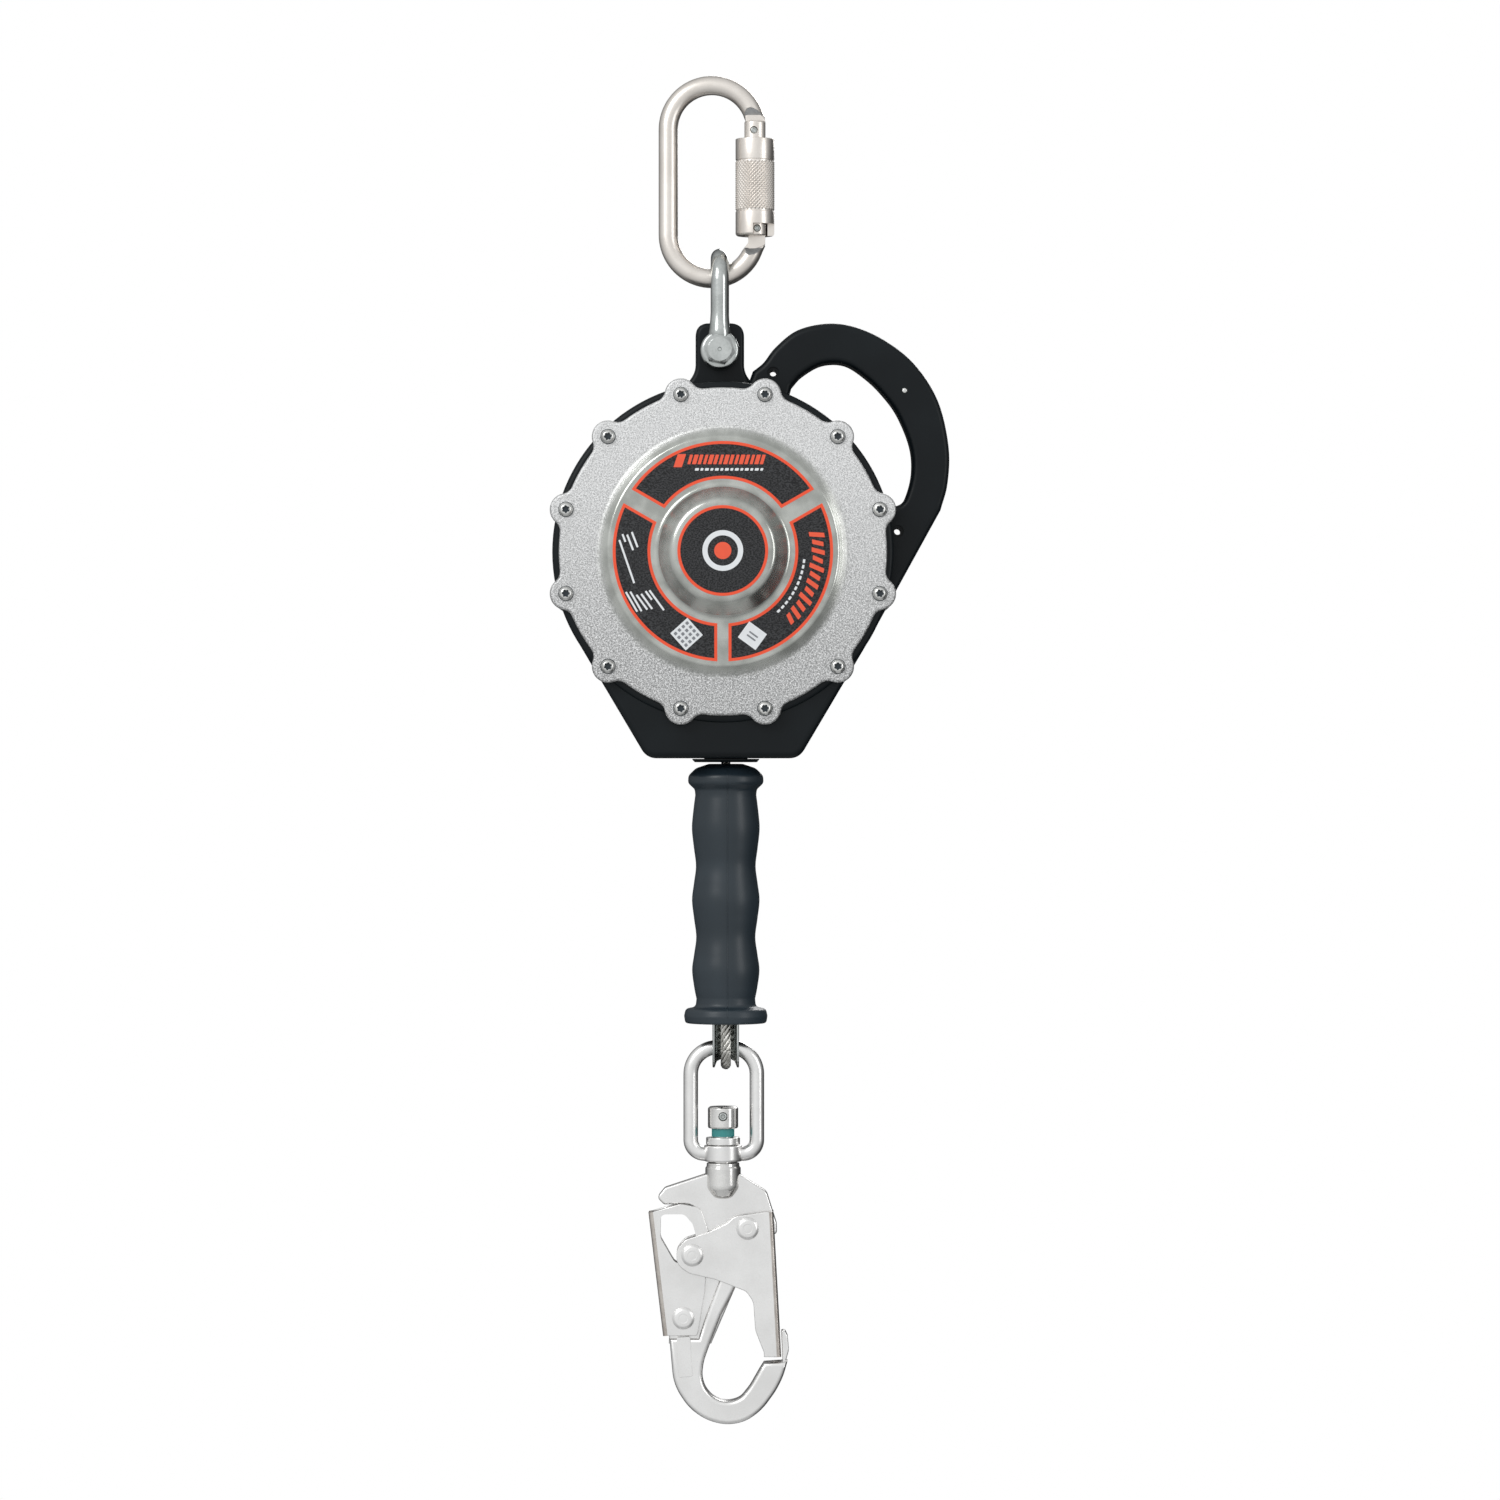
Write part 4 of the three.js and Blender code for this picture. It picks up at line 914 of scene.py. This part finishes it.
# painted shade: the slopes get a darker steel for the dark reflection that they catch
slope_shades = [carve(bar.copy(), slope_shade_skin(*end), mode="INTERSECT") for end in ENDS]
piece("slope_painted_shade", grown(*slope_shades), "carabiner", inner)
room = slab([(10, -79), (15.4, -79), (18.4, -75), (18.4, -66), (10, -66)], -8, 8, 0)     # for the open sleeve
bar = carve(bar, room, *[wedge(*end) for end in ENDS])
low_line = [(18.4, -79.4, 1), (27, -76.5, 2), (27, -63.8, 4), (18.8, -63.8, 4), (18.4, -68)]
top_line = [(17, -10.4, 1), (17, -14.6, 2), (24.2, -14.6, 1.5), (24.2, -20.9, 0.6), (27, -20.9, 0.8),
            (27, -12.5, 2), (24, -9.4)]
low_tang, top_tang = (slab(rounded(line, 8), -TANG, TANG, 0.3) for line in (low_line, top_line))
low_tang = carve(low_tang, rod(1.9, -5, 5, 22.9, -68))
piece("carabiner_bar", grown(bar, low_tang, top_tang), "carabiner", zinc, ["carabiner_body"])
print("bar", 2 * BAR, "mm thick, oval", round(2 * (BEND + BAR), 1), "mm wide")


# %% Gate and its pins
GATE_R, GATE_LOW, GATE_HIGH = 6.1, -71.6, -13.4
GAP = 2.9                                        # half the width of the slots for the tangs
tube = turned(rounded([(0, GATE_LOW), (GATE_R, GATE_LOW, 1), (GATE_R, GATE_HIGH, 1), (0, GATE_HIGH)], 4, False),
              "z", (GATE.x, 0, 0), 64)
slots = [block((10, -GAP, GATE_LOW - 1), (34, GAP, -62)), block((10, -GAP, -26), (34, GAP, GATE_HIGH + 1))]
tube = carve(tube, *slots, rod(1.9, -8, 8, 22.9, -68), rod(1.9, -8, 8, 21.3, -18.2))
piece("gate_tube", tube, "carabiner_gate", zinc, ["carabiner_gate"])
PIN = [(0, 5.2), *rounded([(0.7, 5.2), (0.9, 5.6, 0.2), (1.4, 5.5, 0.4), (1.75, 5.1)], 3, False), (1.6, 4.6)]
for name, body, node in (("gate_hinge_pin", "carabiner", "carabiner_hinge_pin"),
                         ("gate_latch_pin", "carabiner_gate", "carabiner_latch_pin")):
    at = centre_of(node)
    pin = turned([(r, -y) for r, y in PIN] + [(r, y) for r, y in reversed(PIN)], "y", at, 32)
    piece(name, pin, body, bright, [node])
print("gate slots", 2 * GAP, "mm wide")

# %% [markdown]
# The locking sleeve turns on the gate. Its middle is knurled with small diamonds for cold fingers. A knurl
# is real relief, so it is made as relief: the sleeve is spun with a fine ring every half diamond, and every
# other point of that grid is raised. Each small square is split between its two low corners, so that the
# grooves run diagonally both ways. The skirt is then cut away in front, where the hinge shows.

# %% Knurled sleeve
KNURL, KNURL_LOW, KNURL_HIGH, ROWS, ROUND = 0.5, -58.8, -33.4, 26, 64
rows = [KNURL_LOW + (KNURL_HIGH - KNURL_LOW) * k / ROWS for k in range(ROWS + 1)]
foot = rounded([(6.4, -71.5), (9.2, -71.5, 0.6), (9.85, -70.5, 0.3), (9.85, -59.3, 0.2), (9.5, -59.1)], 3,
               False)
crown = rounded([(9.5, -33.1), (9.85, -32.9, 0.2), (9.85, -22.3, 0.4), (6.4, -22.3)], 3, False)
sleeve = turned([*foot, *[(9.5, z) for z in rows], *crown], "z", (GATE.x, 0, 0), ROUND, closed=True)


def grid_place(vert):
    turn = math.atan2(vert.co.y, vert.co.x - GATE.x) / math.tau * ROUND
    return round(turn) + round((vert.co.z - rows[0]) / (rows[1] - rows[0]))


def in_knurl(vert):
    out = math.hypot(vert.co.x - GATE.x, vert.co.y)
    return out > 9.4 and rows[0] - 0.01 < vert.co.z < rows[-1] + 0.01


high = [v for v in sleeve.verts
        if in_knurl(v) and grid_place(v) % 2 and rows[0] + 0.1 < v.co.z < rows[-1] - 0.1]
for face in [f for f in sleeve.faces if all(in_knurl(v) for v in f.verts)]:
    low = [v for v in face.verts if grid_place(v) % 2 == 0]
    bmesh.utils.face_split(face, *low)
for vert in high:
    away = Vector((vert.co.x - GATE.x, vert.co.y, 0)).normalized()
    vert.co += away * KNURL
sleeve = carve(sleeve, block((20.8, -12, -74), (36, 0, -65.6)))
piece("knurled_sleeve", sleeve, "carabiner_sleeve", zinc, ["carabiner_sleeve"], crease=18, fair=False)
print(len(high), "raised points in the knurl")

# %% [markdown]
# The shackle is forged: a round bow that swells into two flat eyes, polished and plated. The bow is a bar
# whose width grows towards the eyes, and the eyes are turned. The hexagon of the bolt is what two shapes
# share: a six-sided bar and a turned head with a chamfer and a centre mark.

# %% Shackle
LEG, BOW, BORE, EYE = 12.75, 4.6, 4.95, 9.85     # to the middle of a leg, then the radii of bow, bore and eye
bow_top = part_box("shackle_bow")[1].z / MM - BOW - BOLT.z - LEG
half_turn = arc(0, bow_top, LEG, 0, 180, 30)
path = [(LEG, 3), (LEG, 8), (LEG, 11), (LEG, 15), (LEG, 19), (LEG, 24), *half_turn,
        (-LEG, 24), (-LEG, 19), (-LEG, 15), (-LEG, 11), (-LEG, 8), (-LEG, 3)]
widths = [0.9 if z < 4 else 1.3 if z < 9 else 1.16 if z < 12 else 1.05 if z < 16 else 1 for y, z in path]
bow = moved(bent([(0, y, z) for y, z in path], BOW, sides=12, widths=widths), BOLT.x, 0, BOLT.z)
eye = rounded([(BORE, -4.4), (EYE, -4.4, 2.8), (EYE, 4.4, 2.8), (BORE, 4.4)], 8)
eyes = [turned(eye, "y", (BOLT.x, y, BOLT.z), 64, closed=True) for y in (-LEG, LEG)]
bow = carve(bow, rod(BORE, -20, 20, BOLT.x, BOLT.z, 48))
piece("shackle_forging", grown(bow, *eyes), "shackle", bright, ["shackle_bow"], crease=50)


def hexagon(y0, y1, head, turn=0):
    """What a six-sided bar and a turned head share."""
    six = turned([(0, y0), (8.1, y0), (8.1, y1), (0, y1)], "y", steps=6)
    bmesh.ops.rotate(six, verts=six.verts, matrix=Matrix.Rotation(math.radians(turn), 3, "Y"))
    return carve(head, six, mode="INTERSECT")


face = rounded([(0, -22.4), (0.7, -22.5), (1.1, -22.9), (5.9, -23.15, 0.3), (8.4, -21.3), (8.4, -17.5),
                (0, -17.5)], 4, False)
bolt_head = hexagon(-24, -17.45, turned(face, "y", steps=96), 12)
threads = [(4.8 - 0.25 * (k % 2), 17 + 0.45 * k) for k in range(18)]
shank = turned([(0, -18), (4.8, -18), *threads, (4.0, 26), (0, 26.1)], "y", steps=48)
bolt = moved(grown(bolt_head, shank), BOLT.x, 0, BOLT.z)
piece("shackle_bolt_hex", bolt, "shackle", bright, ["shackle_bolt"], 30)
collar = rounded([(5.0, 17.5), (8.4, 17.5), (8.4, 22.9), (7, 24.1), (5.4, 24.1), (5.0, 23.6)], 4)
nut = hexagon(17, 25, turned(collar, "y", steps=96, closed=True))
piece("shackle_hex_nut", moved(nut, BOLT.x, 0, BOLT.z), "shackle", bright, ["shackle_nut"], 30)
print("bow", 2 * BOW, "mm bar, eyes", 2 * EYE, "mm across")

# %% [markdown]
# The hand grip is moulded rubber over the end of the rope, with three swellings for the fingers and a rolled
# flange at each end. It is turned from one half section, whose waist is a flowing curve and whose flanges
# have rounded corners. A mould always leaves a seam, so a fine bead runs down the front and the back.

# %% Hand grip
GRIP_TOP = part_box("grip")[1].z / MM
crown = rounded([(3, -0.2), (8.5, -0.2, 5), (15.2, -2.4, 6), (19, -6.2, 3.5), (19.2, -10, 3),
                 (15.8, -13.2, 2.5), (15.5, -16)], 6, False)
waist = flowing([(15.5, -16), (16.6, -25), (17.2, -33.3), (16.2, -43), (15.15, -52.1), (16.2, -61),
                 (17.15, -69.4), (16.1, -79), (15, -88.2), (16.1, -97), (17.1, -105), (16, -114),
                 (14.9, -119.5)], 5)
rolled = rounded([(14.9, -119.5), (15.3, -123.6, 3.5), (20.4, -124.6, 2.4), (21.2, -128.2, 3),
                  (20.6, -131.9, 1.6), (16.4, -131.9, 0.8), (16, -125.5, 1), (12.9, -121), (12.9, -30),
                  (3, -30)], 6, False)
profile = [*crown, *waist[1:], *rolled[1:]]
handle = turned(profile, "z", (LINE.x, 0, GRIP_TOP), 96, closed=True)
outside = [*crown[14:], *waist[1:], *rolled[1:20]]
seams = [bent([(LINE.x + 0.9, side * (r - 0.12), GRIP_TOP + z) for r, z in outside], 0.34, sides=4)
         for side in (-1, 1)]
piece("hand_grip", grown(handle, *seams), "lifeline", rubber, ["grip"], crease=60)
print("grip", round(-rolled[-4].y, 1), "mm long")

# %% [markdown]
# The wire rope ends in an eye: it comes out of the grip, runs round a thimble and returns. It is laid from six
# strands, and each strand from six wires, twisted the other way so that the rope doesn't unwind. The path of
# the eye is known, so every wire is a round bar on a helix around a helix around that path. Because the
# path lies in one plane, the X axis always points sideways, and no frame can flip.

# %% Rope strands
ROPE, STRAND_LAY, WIRE_LAY, EYE_BEND = 2.4, 21, 9, 10
BEND_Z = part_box("cable_eye")[0].z / MM + ROPE + EYE_BEND
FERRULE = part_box("ferrule")[0].z / MM
eye_way = [(2.8, FERRULE - 0.3), (3.4, FERRULE - 8), (9.3, GRIP_TOP - 118),
           *arc(0, BEND_Z, EYE_BEND, 0, -180, 20),
           (-9.3, GRIP_TOP - 118), (-3.4, FERRULE - 8), (-2.8, FERRULE - 0.3)]


def evenly(points, step):
    """Points along a path at even distances, each with its direction."""
    dots = [Vector(p) for p in points]
    run, spaced = 0.0, []
    for a, b in zip(dots, dots[1:]):
        length = (b - a).length
        while run < length:
            spaced.append((a.lerp(b, run / length), (b - a).normalized()))
            run += step
        run -= length
    return spaced


STEP = 0.8
centre_line = evenly(flowing(eye_way, 8), STEP)


def wire_path(strand, wire_in_strand):
    """One wire of one strand, along the eye."""
    points = []
    for k, (at, along) in enumerate(centre_line):
        a = math.tau * (k * STEP / STRAND_LAY + strand / 6)
        b = math.tau * (wire_in_strand / 6 - k * STEP / WIRE_LAY)
        out = 1.78 * math.cos(a) + 0.56 * math.cos(a + b)
        side = 1.78 * math.sin(a) + 0.56 * math.sin(a + b)
        normal = Vector((-along.y, along.x))
        points.append((LINE.x + side, at.x + normal.x * out, at.y + normal.y * out))
    return points


wires = [bent(wire_path(s, w), 0.31, sides=2) for s in range(6) for w in range(6)]
piece("rope_eye", grown(*wires), "lifeline", wire, ["cable_eye"], crease=80, fair=False)
core = bent([(LINE.x, at.x, at.y) for at, _ in centre_line], 1.5, sides=4)
piece("rope_core", core, "lifeline", lining, fair=False)
print(len(wires), "wires of", round(len(centre_line) * STEP), "mm")

# %% [markdown]
# The rope between the drum and the grip is the part that pays out, up to six metres. Its top stays with the
# housing and its bottom goes with the grip; here it rides on neither body, and its place is baked into the
# mesh.
# Twisted bars would stretch with it, so here the strands are drawn by the finish instead: a helix is a line of
# equal height plus angle, and its cosine makes the grooves, whose dark colour is painted shade.

# %% Rope run
lay = Finish("wire_rope_lay", "wire_rope", Metallic=1.0)
place_x, place_y, place_z = (lay.node("SeparateXYZ", {}, {0: lay.place}, axis) for axis in "XYZ")
around = place_y.maths("ARCTAN2", place_y, place_x - LINE.x * MM)
helix = around * 6 - place_z * (6 * math.tau / (STRAND_LAY * MM))
groove_relief_and_shade = (helix.maths("COSINE", helix) * 0.5 + 0.5) ** 0.6
fine = around * 30 + place_z * (30 * math.tau / (60 * MM))
thread = fine.maths("COSINE", fine) * 0.5 + 0.5
# painted shade: the base colour goes dark in the grooves between the drawn strands
lay.set("Base Color", lay.blend(groove_relief_and_shade, (0.05, 0.048, 0.045, 1), (0.50, 0.48, 0.45, 1)))
lay.set("Roughness", 0.3 + (1 - groove_relief_and_shade) * 0.3)
lay.bump(groove_relief_and_shade + thread * 0.25, 0.5 * MM, 1.0)
low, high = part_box("cable_run")
length = (high.z - low.z) / MM
run_points = [(LINE.x, 0, high.z / MM - length * k / 24) for k in range(25)]
run = piece("rope_run", bent(run_points, ROPE - 0.05, sides=10), None, lay, ["cable_run"], fair=False)
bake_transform(run)
print("rope at rest between the bodies,", round(length, 1), "mm")

# %% [markdown]
# The thimble keeps the eye from kinking over the link. It is a strip of steel rolled to a channel and bent
# round, so its section is drawn once, drawn down one leg, spun half a turn and drawn up the other leg.

# %% Thimble
half_section = [(11.7, 6.75), (11.1, 7.0), (8.2, 6.5), (6.5, 5.0), (6.0, 2.4), (6.0, 0), (7.2, 0), (7.25, 2.4),
                (8.4, 4.7), (11.5, 5.9)]
LEG_RISE = 11                                    # the legs of the thimble above its bend
section = [(r, -x) for r, x in half_section[:6]] + [(r, x) for r, x in half_section[4::-1]]
section += [(r, x) for r, x in half_section[:6:-1]] + [(r, -x) for r, x in half_section[6:]]
bm = bmesh.new()
ring = [bm.verts.new((LINE.x + x * 0.96, r, BEND_Z + LEG_RISE)) for r, x in section]
rims = [bm.edges.new(pair) for pair in zip(ring, ring[1:] + ring[:1])]


def drawn(edges, dz):
    made = bmesh.ops.extrude_edge_only(bm, edges=edges)["geom"]
    bmesh.ops.translate(bm, verts=[v for v in made if isinstance(v, bmesh.types.BMVert)], vec=(0, 0, dz))
    return [e for e in made if isinstance(e, bmesh.types.BMEdge)]


foot = drawn(rims, -LEG_RISE)
foot_verts = list({v for e in foot for v in e.verts})
half_turn = {"axis": (1, 0, 0), "cent": (0, 0, BEND_Z), "angle": -math.pi, "steps": 28}
last = bmesh.ops.spin(bm, geom=foot_verts + foot, **half_turn)["geom_last"]
drawn([e for e in last if isinstance(e, bmesh.types.BMEdge)], LEG_RISE)
open_rims = [e for e in bm.edges if e.is_boundary]
bmesh.ops.holes_fill(bm, edges=open_rims, sides=0)
bmesh.ops.remove_doubles(bm, verts=bm.verts, dist=1e-4)
bmesh.ops.recalc_face_normals(bm, faces=bm.faces)
piece("rope_thimble", bm, "lifeline", bright, ["thimble"], crease=50)
print("thimble channel", 2 * half_section[0][1], "mm wide")

# %% [markdown]
# The swivel link is a bar bent to a tall ring and forged into a boss at its foot, where the hook turns. The
# bar is one closed path: two large arcs at the top and two small ones at the foot. The boss is turned.

# %% Swivel link
LINK_BAR = 3.7
link_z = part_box("swivel_link")[1].z / MM - LINK_BAR
hook_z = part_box("swivel_washer")[0].z / MM - 8.8
foot_z = hook_z - link_z + 4.2
right = [*arc(3.3, -13.5, 13.5, 90, 0, 24), *arc(9.8, foot_z + 7, 7, 0, -90, 14)]
around_link = [*right, *[Vector((-p.x, p.y)) for p in reversed(right)]]
bar = bent([(LINK.x + x, 0, link_z + z) for x, z in around_link], LINK_BAR, closed=True, sides=12)
boss = rounded([(5.2, 0.3), (9.75, 0.3, 1.2), (9.75, 8.5, 1), (5.2, 8.5)], 6)
boss = turned(boss, "z", (HOOK.x, 0, hook_z), 64, closed=True)
bar = carve(bar, turned([(0, -2), (5.2, -2), (5.2, 10), (0, 10)], "z", (HOOK.x, 0, hook_z), 64))
piece("link_forging", grown(bar, boss), "swivel_link", nickel, ["swivel_link"], crease=50)
print("link", round(2 * (max(p.x for p in right) + LINK_BAR), 1), "mm wide")

# %% [markdown]
# The body of the snap hook is forged: a plate at the top for the rivets, and a thicker bend below whose edges
# are well rounded, with a thinner lip that shrouds the tip of the gate. Each is an outline with rounded
# corners and its own softness of edge. The neck is turned and polished, so it is a piece of its own, and
# holes are drilled for the two rivets.

# %% Hook body
def at_hook(points):
    return [Vector((x + HOOK.x, z + hook_z)) for x, z in points]


PLATE, FORGING = 4.1, 6.0
plate_line = [(-9, -6), (-29.5, -12.8, 3), (-33.6, -17.8, 2.6), (-30, -21.4, 2), (-13.5, -21.4, 6),
              (-13.5, -36), (-10.2, -47, 8), (-10.2, -53, 3), (-18, -57, 4), (-26.5, -68, 8),
              (-27.5, -92), (-6, -92), (5.6, -65, 30), (14, -46, 8), (22.5, -40.5, 3), (24, -37.6, 2),
              (27.4, -36, 2), (27.3, -31, 4), (22.2, -14.8, 5), (8.4, -6)]
bend_line = [(-27.2, -89.2), (-25.1, -112.9, 40), (-17.3, -124.6, 40), (-8.6, -130.7, 40), (1.4, -133.3, 40),
             (11.2, -131.7, 40), (19.8, -125.6, 40), (26.8, -116, 40), (30.6, -108.6, 40), (32.8, -100.6),
             (20.8, -101.4), (18.5, -105, 30), (13.7, -113.4, 30), (9, -119.3, 30), (4.4, -121, 30),
             (-0.6, -121, 30), (-5.4, -118.6, 30), (-9, -114.4, 30), (-10.6, -109.2, 30), (-10, -101.4, 30),
             (-5.9, -90.1, 20), (-0.7, -77.1, 20), (5.6, -65, 20), (10, -55), (1, -52), (-3, -62, 8),
             (-9, -78, 8), (-12.5, -89.2)]
lip_line = [(26, -107), (30.2, -106.4, 4), (33.5, -95.1, 8), (32.8, -88, 3), (31.4, -85.2, 1.4),
            (29.5, -85.4, 0.8), (30.2, -100.7), (26, -102)]
plate = slab(at_hook(rounded(plate_line, 5)), -PLATE, PLATE, 1.2, 4)
bend = slab(at_hook(rounded(bend_line, 6)), -FORGING, FORGING, 2.3, 6)
lip = slab(at_hook(rounded(lip_line, 5)), -4.9, 4.9, 0.7, 3)
neck = rounded([(0, -18.8), (5.6, -18.4, 4), (9, -13, 6), (9, -3, 1), (8.3, -2, 1), (8.3, -0.3, 0.8),
                (4.7, -0.3), (4.7, 20), (0, 20)], 6, False)
neck = turned(neck, "z", (HOOK.x, 0, hook_z), 64)
pad_line = at_hook(rounded([(-23.6, -88.6, 1), (-16.6, -88.2, 1), (-15.4, -108.4, 1), (-22.4, -109, 1)], 4))
pads = [slab(pad_line, side * (FORGING - 0.5), side * (FORGING + 0.35), 0.3, 2) for side in (-1, 1)]


def at_pin(node):
    at = centre_of(node)
    return at.x, at.z


drills = [rod(3.8, -9, 9, *at_pin("gate_rivet")), rod(2.9, -9, 9, *at_pin("lock_rivet")),
          rod(7.2, -9, -1.5, *at_pin("gate_rivet"), 48), rod(6.4, -9, -1.5, *at_pin("lock_rivet"), 48)]
body = carve(grown(plate), *drills)
piece("hook_forging", grown(body, bend, lip, *pads), "hook", nickel, ["hook_body"], crease=40)
piece("hook_neck", neck, "hook", polished)
print("bend", 2 * FORGING, "mm thick, plate", 2 * PLATE, "mm")

# %% [markdown]
# The gate and its lock are pressed from sheet. Each is a channel: two cheeks that straddle the hook, joined by
# a narrow web along the back. A cheek is a thin plate with softened rims. Where the sheet is folded it is
# round, so each fold is a round bar, and the two are a piece of their own in darker steel: painted shade for
# the dark band that the turning fold shows. The lock has a wide slot, through which the light passes, carved
# out of both cheeks.

# %% Gate and lock
FOLD, SHEET = 2.0, 1.6                           # the outer radius of a fold, and the thickness


def pressing(line, fold, web, outside, drilled, slot=None):
    """A channel about the hook, and its two folds, from outlines and (node, radius) holes."""
    outline = at_hook(rounded(line, 6))
    cheeks = [slab(outline, side * (outside - SHEET), side * outside, 0.5, 3) for side in (-1, 1)]
    spine = slab(at_hook(web), FOLD - outside, outside - FOLD, 0)
    ends = at_hook(fold)
    folds = [bent([(x, side * (outside - FOLD), z) for x, z in ends], FOLD, sides=8) for side in (-1, 1)]
    cuts = [rod(radius, -12, 12, *at_pin(node), 40) for node, radius in drilled]
    if slot:
        cuts.append(slab(at_hook(rounded(slot, 6)), -12, 12, 0))
    cheeks = [carve(cheek, *[cut.copy() for cut in cuts]) for cheek in cheeks]
    return grown(*cheeks, spine), grown(*folds)


gate_line = [(-23.5, -44, 6), (-19.4, -39, 6), (-6.9, -34.9, 14), (1.9, -30.7, 9), (6, -27.1, 6),
             (22.1, -24.8), (23.7, -24.9), (27.6, -98.4), (20.8, -98.4), (20.8, -96.2, 3), (16.4, -84.9, 10),
             (15.4, -70.2, 9), (11.7, -65.1, 5), (-3.8, -59.1, 8), (-17.3, -56, 8), (-23.5, -51.5, 7)]
gate_web = [(24.7, -38.9), (26.3, -38.7), (29.56, -98.4), (28, -98.4)]
gate_fold = [(23.6, -25), (27.6, -98.4)]
gate, back = pressing(gate_line, gate_fold, gate_web, 8, [("gate_rivet", 3.8), ("guide_rivet", 2.9)])
piece("gate_pressing", gate, "hook_gate", nickel, ["hook_gate"], crease=40)
# the gate's folds carry painted shade in a darker steel
piece("gate_folds", back, "hook_gate", fold_shade)
lever_line = [(-35.8, -25), (-21.4, -20.9, 5), (-11.2, -23, 5), (-7.4, -34.9, 6), (-9.2, -65.9),
              (-12.5, -85.8, 2), (-13.2, -87.8, 1), (-28.4, -87.8)]
lever_web = [(-37.6, -27), (-35.9, -27), (-28.7, -87.8), (-30.4, -87.8)]
lever_slot = [(-31.6, -26.2, 3), (-19.6, -26.2, 4), (-15.4, -31, 4), (-12.2, -42, 3), (-12.2, -50.4, 3.4),
              (-24, -51.5, 5), (-31.8, -38, 6)]
lever_fold = [(-35.85, -25.1), (-28.4, -87.8)]
lever, back = pressing(lever_line, lever_fold, lever_web, 6, [("lock_rivet", 2.9)], lever_slot)
piece("lock_pressing", lever, "lock_lever", nickel, ["lock_lever"], crease=40)
# the lock's folds carry painted shade in a darker steel
piece("lock_folds", back, "lock_lever", fold_shade)
print("sheet", SHEET, "mm thick")

# %% [markdown]
# Three rivets hold the pressings. A rivet head is a low dome with a soft rim and the faint ring that the
# riveting tool leaves. The swivel above the neck is a short stack: a washer, a teal band that
# shows whether the hook has ever caught a fall, and a cap that is pinned through the stem.

# %% Rivets and swivel
def rivet(name, node, shank, seat, body):
    x, z = at_pin(node)
    half = rounded([(shank, 0), (shank, seat), (5.6, seat, 0.3), (5.6, seat + 0.4, 0.5), (4.3, seat + 1.35, 2),
                    (2.5, seat + 1.5, 0.5), (2.2, seat + 1.42, 0.3), (0, seat + 1.6)], 5, False)
    whole = [(r, -y) for r, y in reversed(half)][:-1] + [tuple(p) for p in half]
    return piece(name, turned(whole, "y", (x, 0, z), 48), body, nickel, [node])


rivet("gate_rivet_head", "gate_rivet", 3.5, 8.3, "hook")
rivet("guide_rivet_head", "guide_rivet", 2.6, 8.3, "hook_gate")
rivet("lock_rivet_head", "lock_rivet", 2.6, 6.3, "hook")


def on_stem(name, node, profile, finish):
    shape = turned(rounded(profile, 5), "z", (HOOK.x, 0, hook_z), 64, closed=True)
    return piece(name, shape, "hook", finish, [node])


STEM = 4.8
washer = [(STEM, 8.8), (8.6, 8.8, 0.5), (8.6, 12.6, 0.6), (STEM, 12.6)]
band = [(STEM, 12.9), (5.75, 12.9, 0.2), (5.75, 16.9, 0.2), (STEM, 16.9)]
on_stem("swivel_washer_ring", "swivel_washer", washer, nickel)
on_stem("fall_indicator", "indicator_band", band, teal)
cap = rounded([(STEM, 17.2), (7.3, 17.2, 0.4), (7.7, 17.9, 0.3), (7.7, 27.3, 0.8), (6.6, 28.2, 0.6), (0, 28.6),
               (0, 20.8), (STEM, 20.8)], 5, False)
cap = turned([*cap, (STEM, 17.2)], "z", (HOOK.x, 0, hook_z), 64)
cap = carve(cap, rod(2.3, -10, 10, HOOK.x, hook_z + 23.4))
piece("swivel_cap_turned", cap, "hook", polished, ["swivel_cap"])
pin = rounded([(0, 7.2), (0.8, 7.3), (1.1, 7.75, 0.2), (1.8, 7.75, 0.4), (2.15, 7.2), (2.15, 0)], 4, False)
whole = [tuple(p) for p in pin] + [(r, -y) for r, y in reversed(pin[:-1])]
piece("cap_cross_pin", turned(whole, "y", (HOOK.x, 0, hook_z + 23.4), 32), "hook", bright, ["swivel_cap_pin"])

# %% [markdown]
# Inside the casing the CAD shapes are right as they are: the drum and its rope, the spring, the pawls and
# the brake. They are only seen when a cover is taken off, but each gets the metal that it is made of.

# %% Inner parts
inside = {inner: ("anchor_plate", "main_shaft", "shaft_nut", "ratchet_ring", "pawl_1", "pawl_2", "pawl_pin_1",
                  "pawl_pin_2"),
          spring: ("power_spring", "gate_spring", "lock_spring"),
          bronze: ("drum_bearing_front", "drum_bearing_rear"),
          lining: ("friction_disc",),
          alloy: ("drum", "spring_case", "pawl_carrier", "ferrule"),
          wire: ("wound_cable", "cable_lead")}
for finish, nodes in inside.items():
    for node in nodes:
        kept = frame["nodes"][node]
        for held in kept.material_slots:
            held.material = finish.material
        if not kept.material_slots:
            kept.data.materials.append(finish.material)
print("inner nodes finished:", sum(len(nodes) for nodes in inside.values()))


# %% Close
print("faces:", made_pieces)
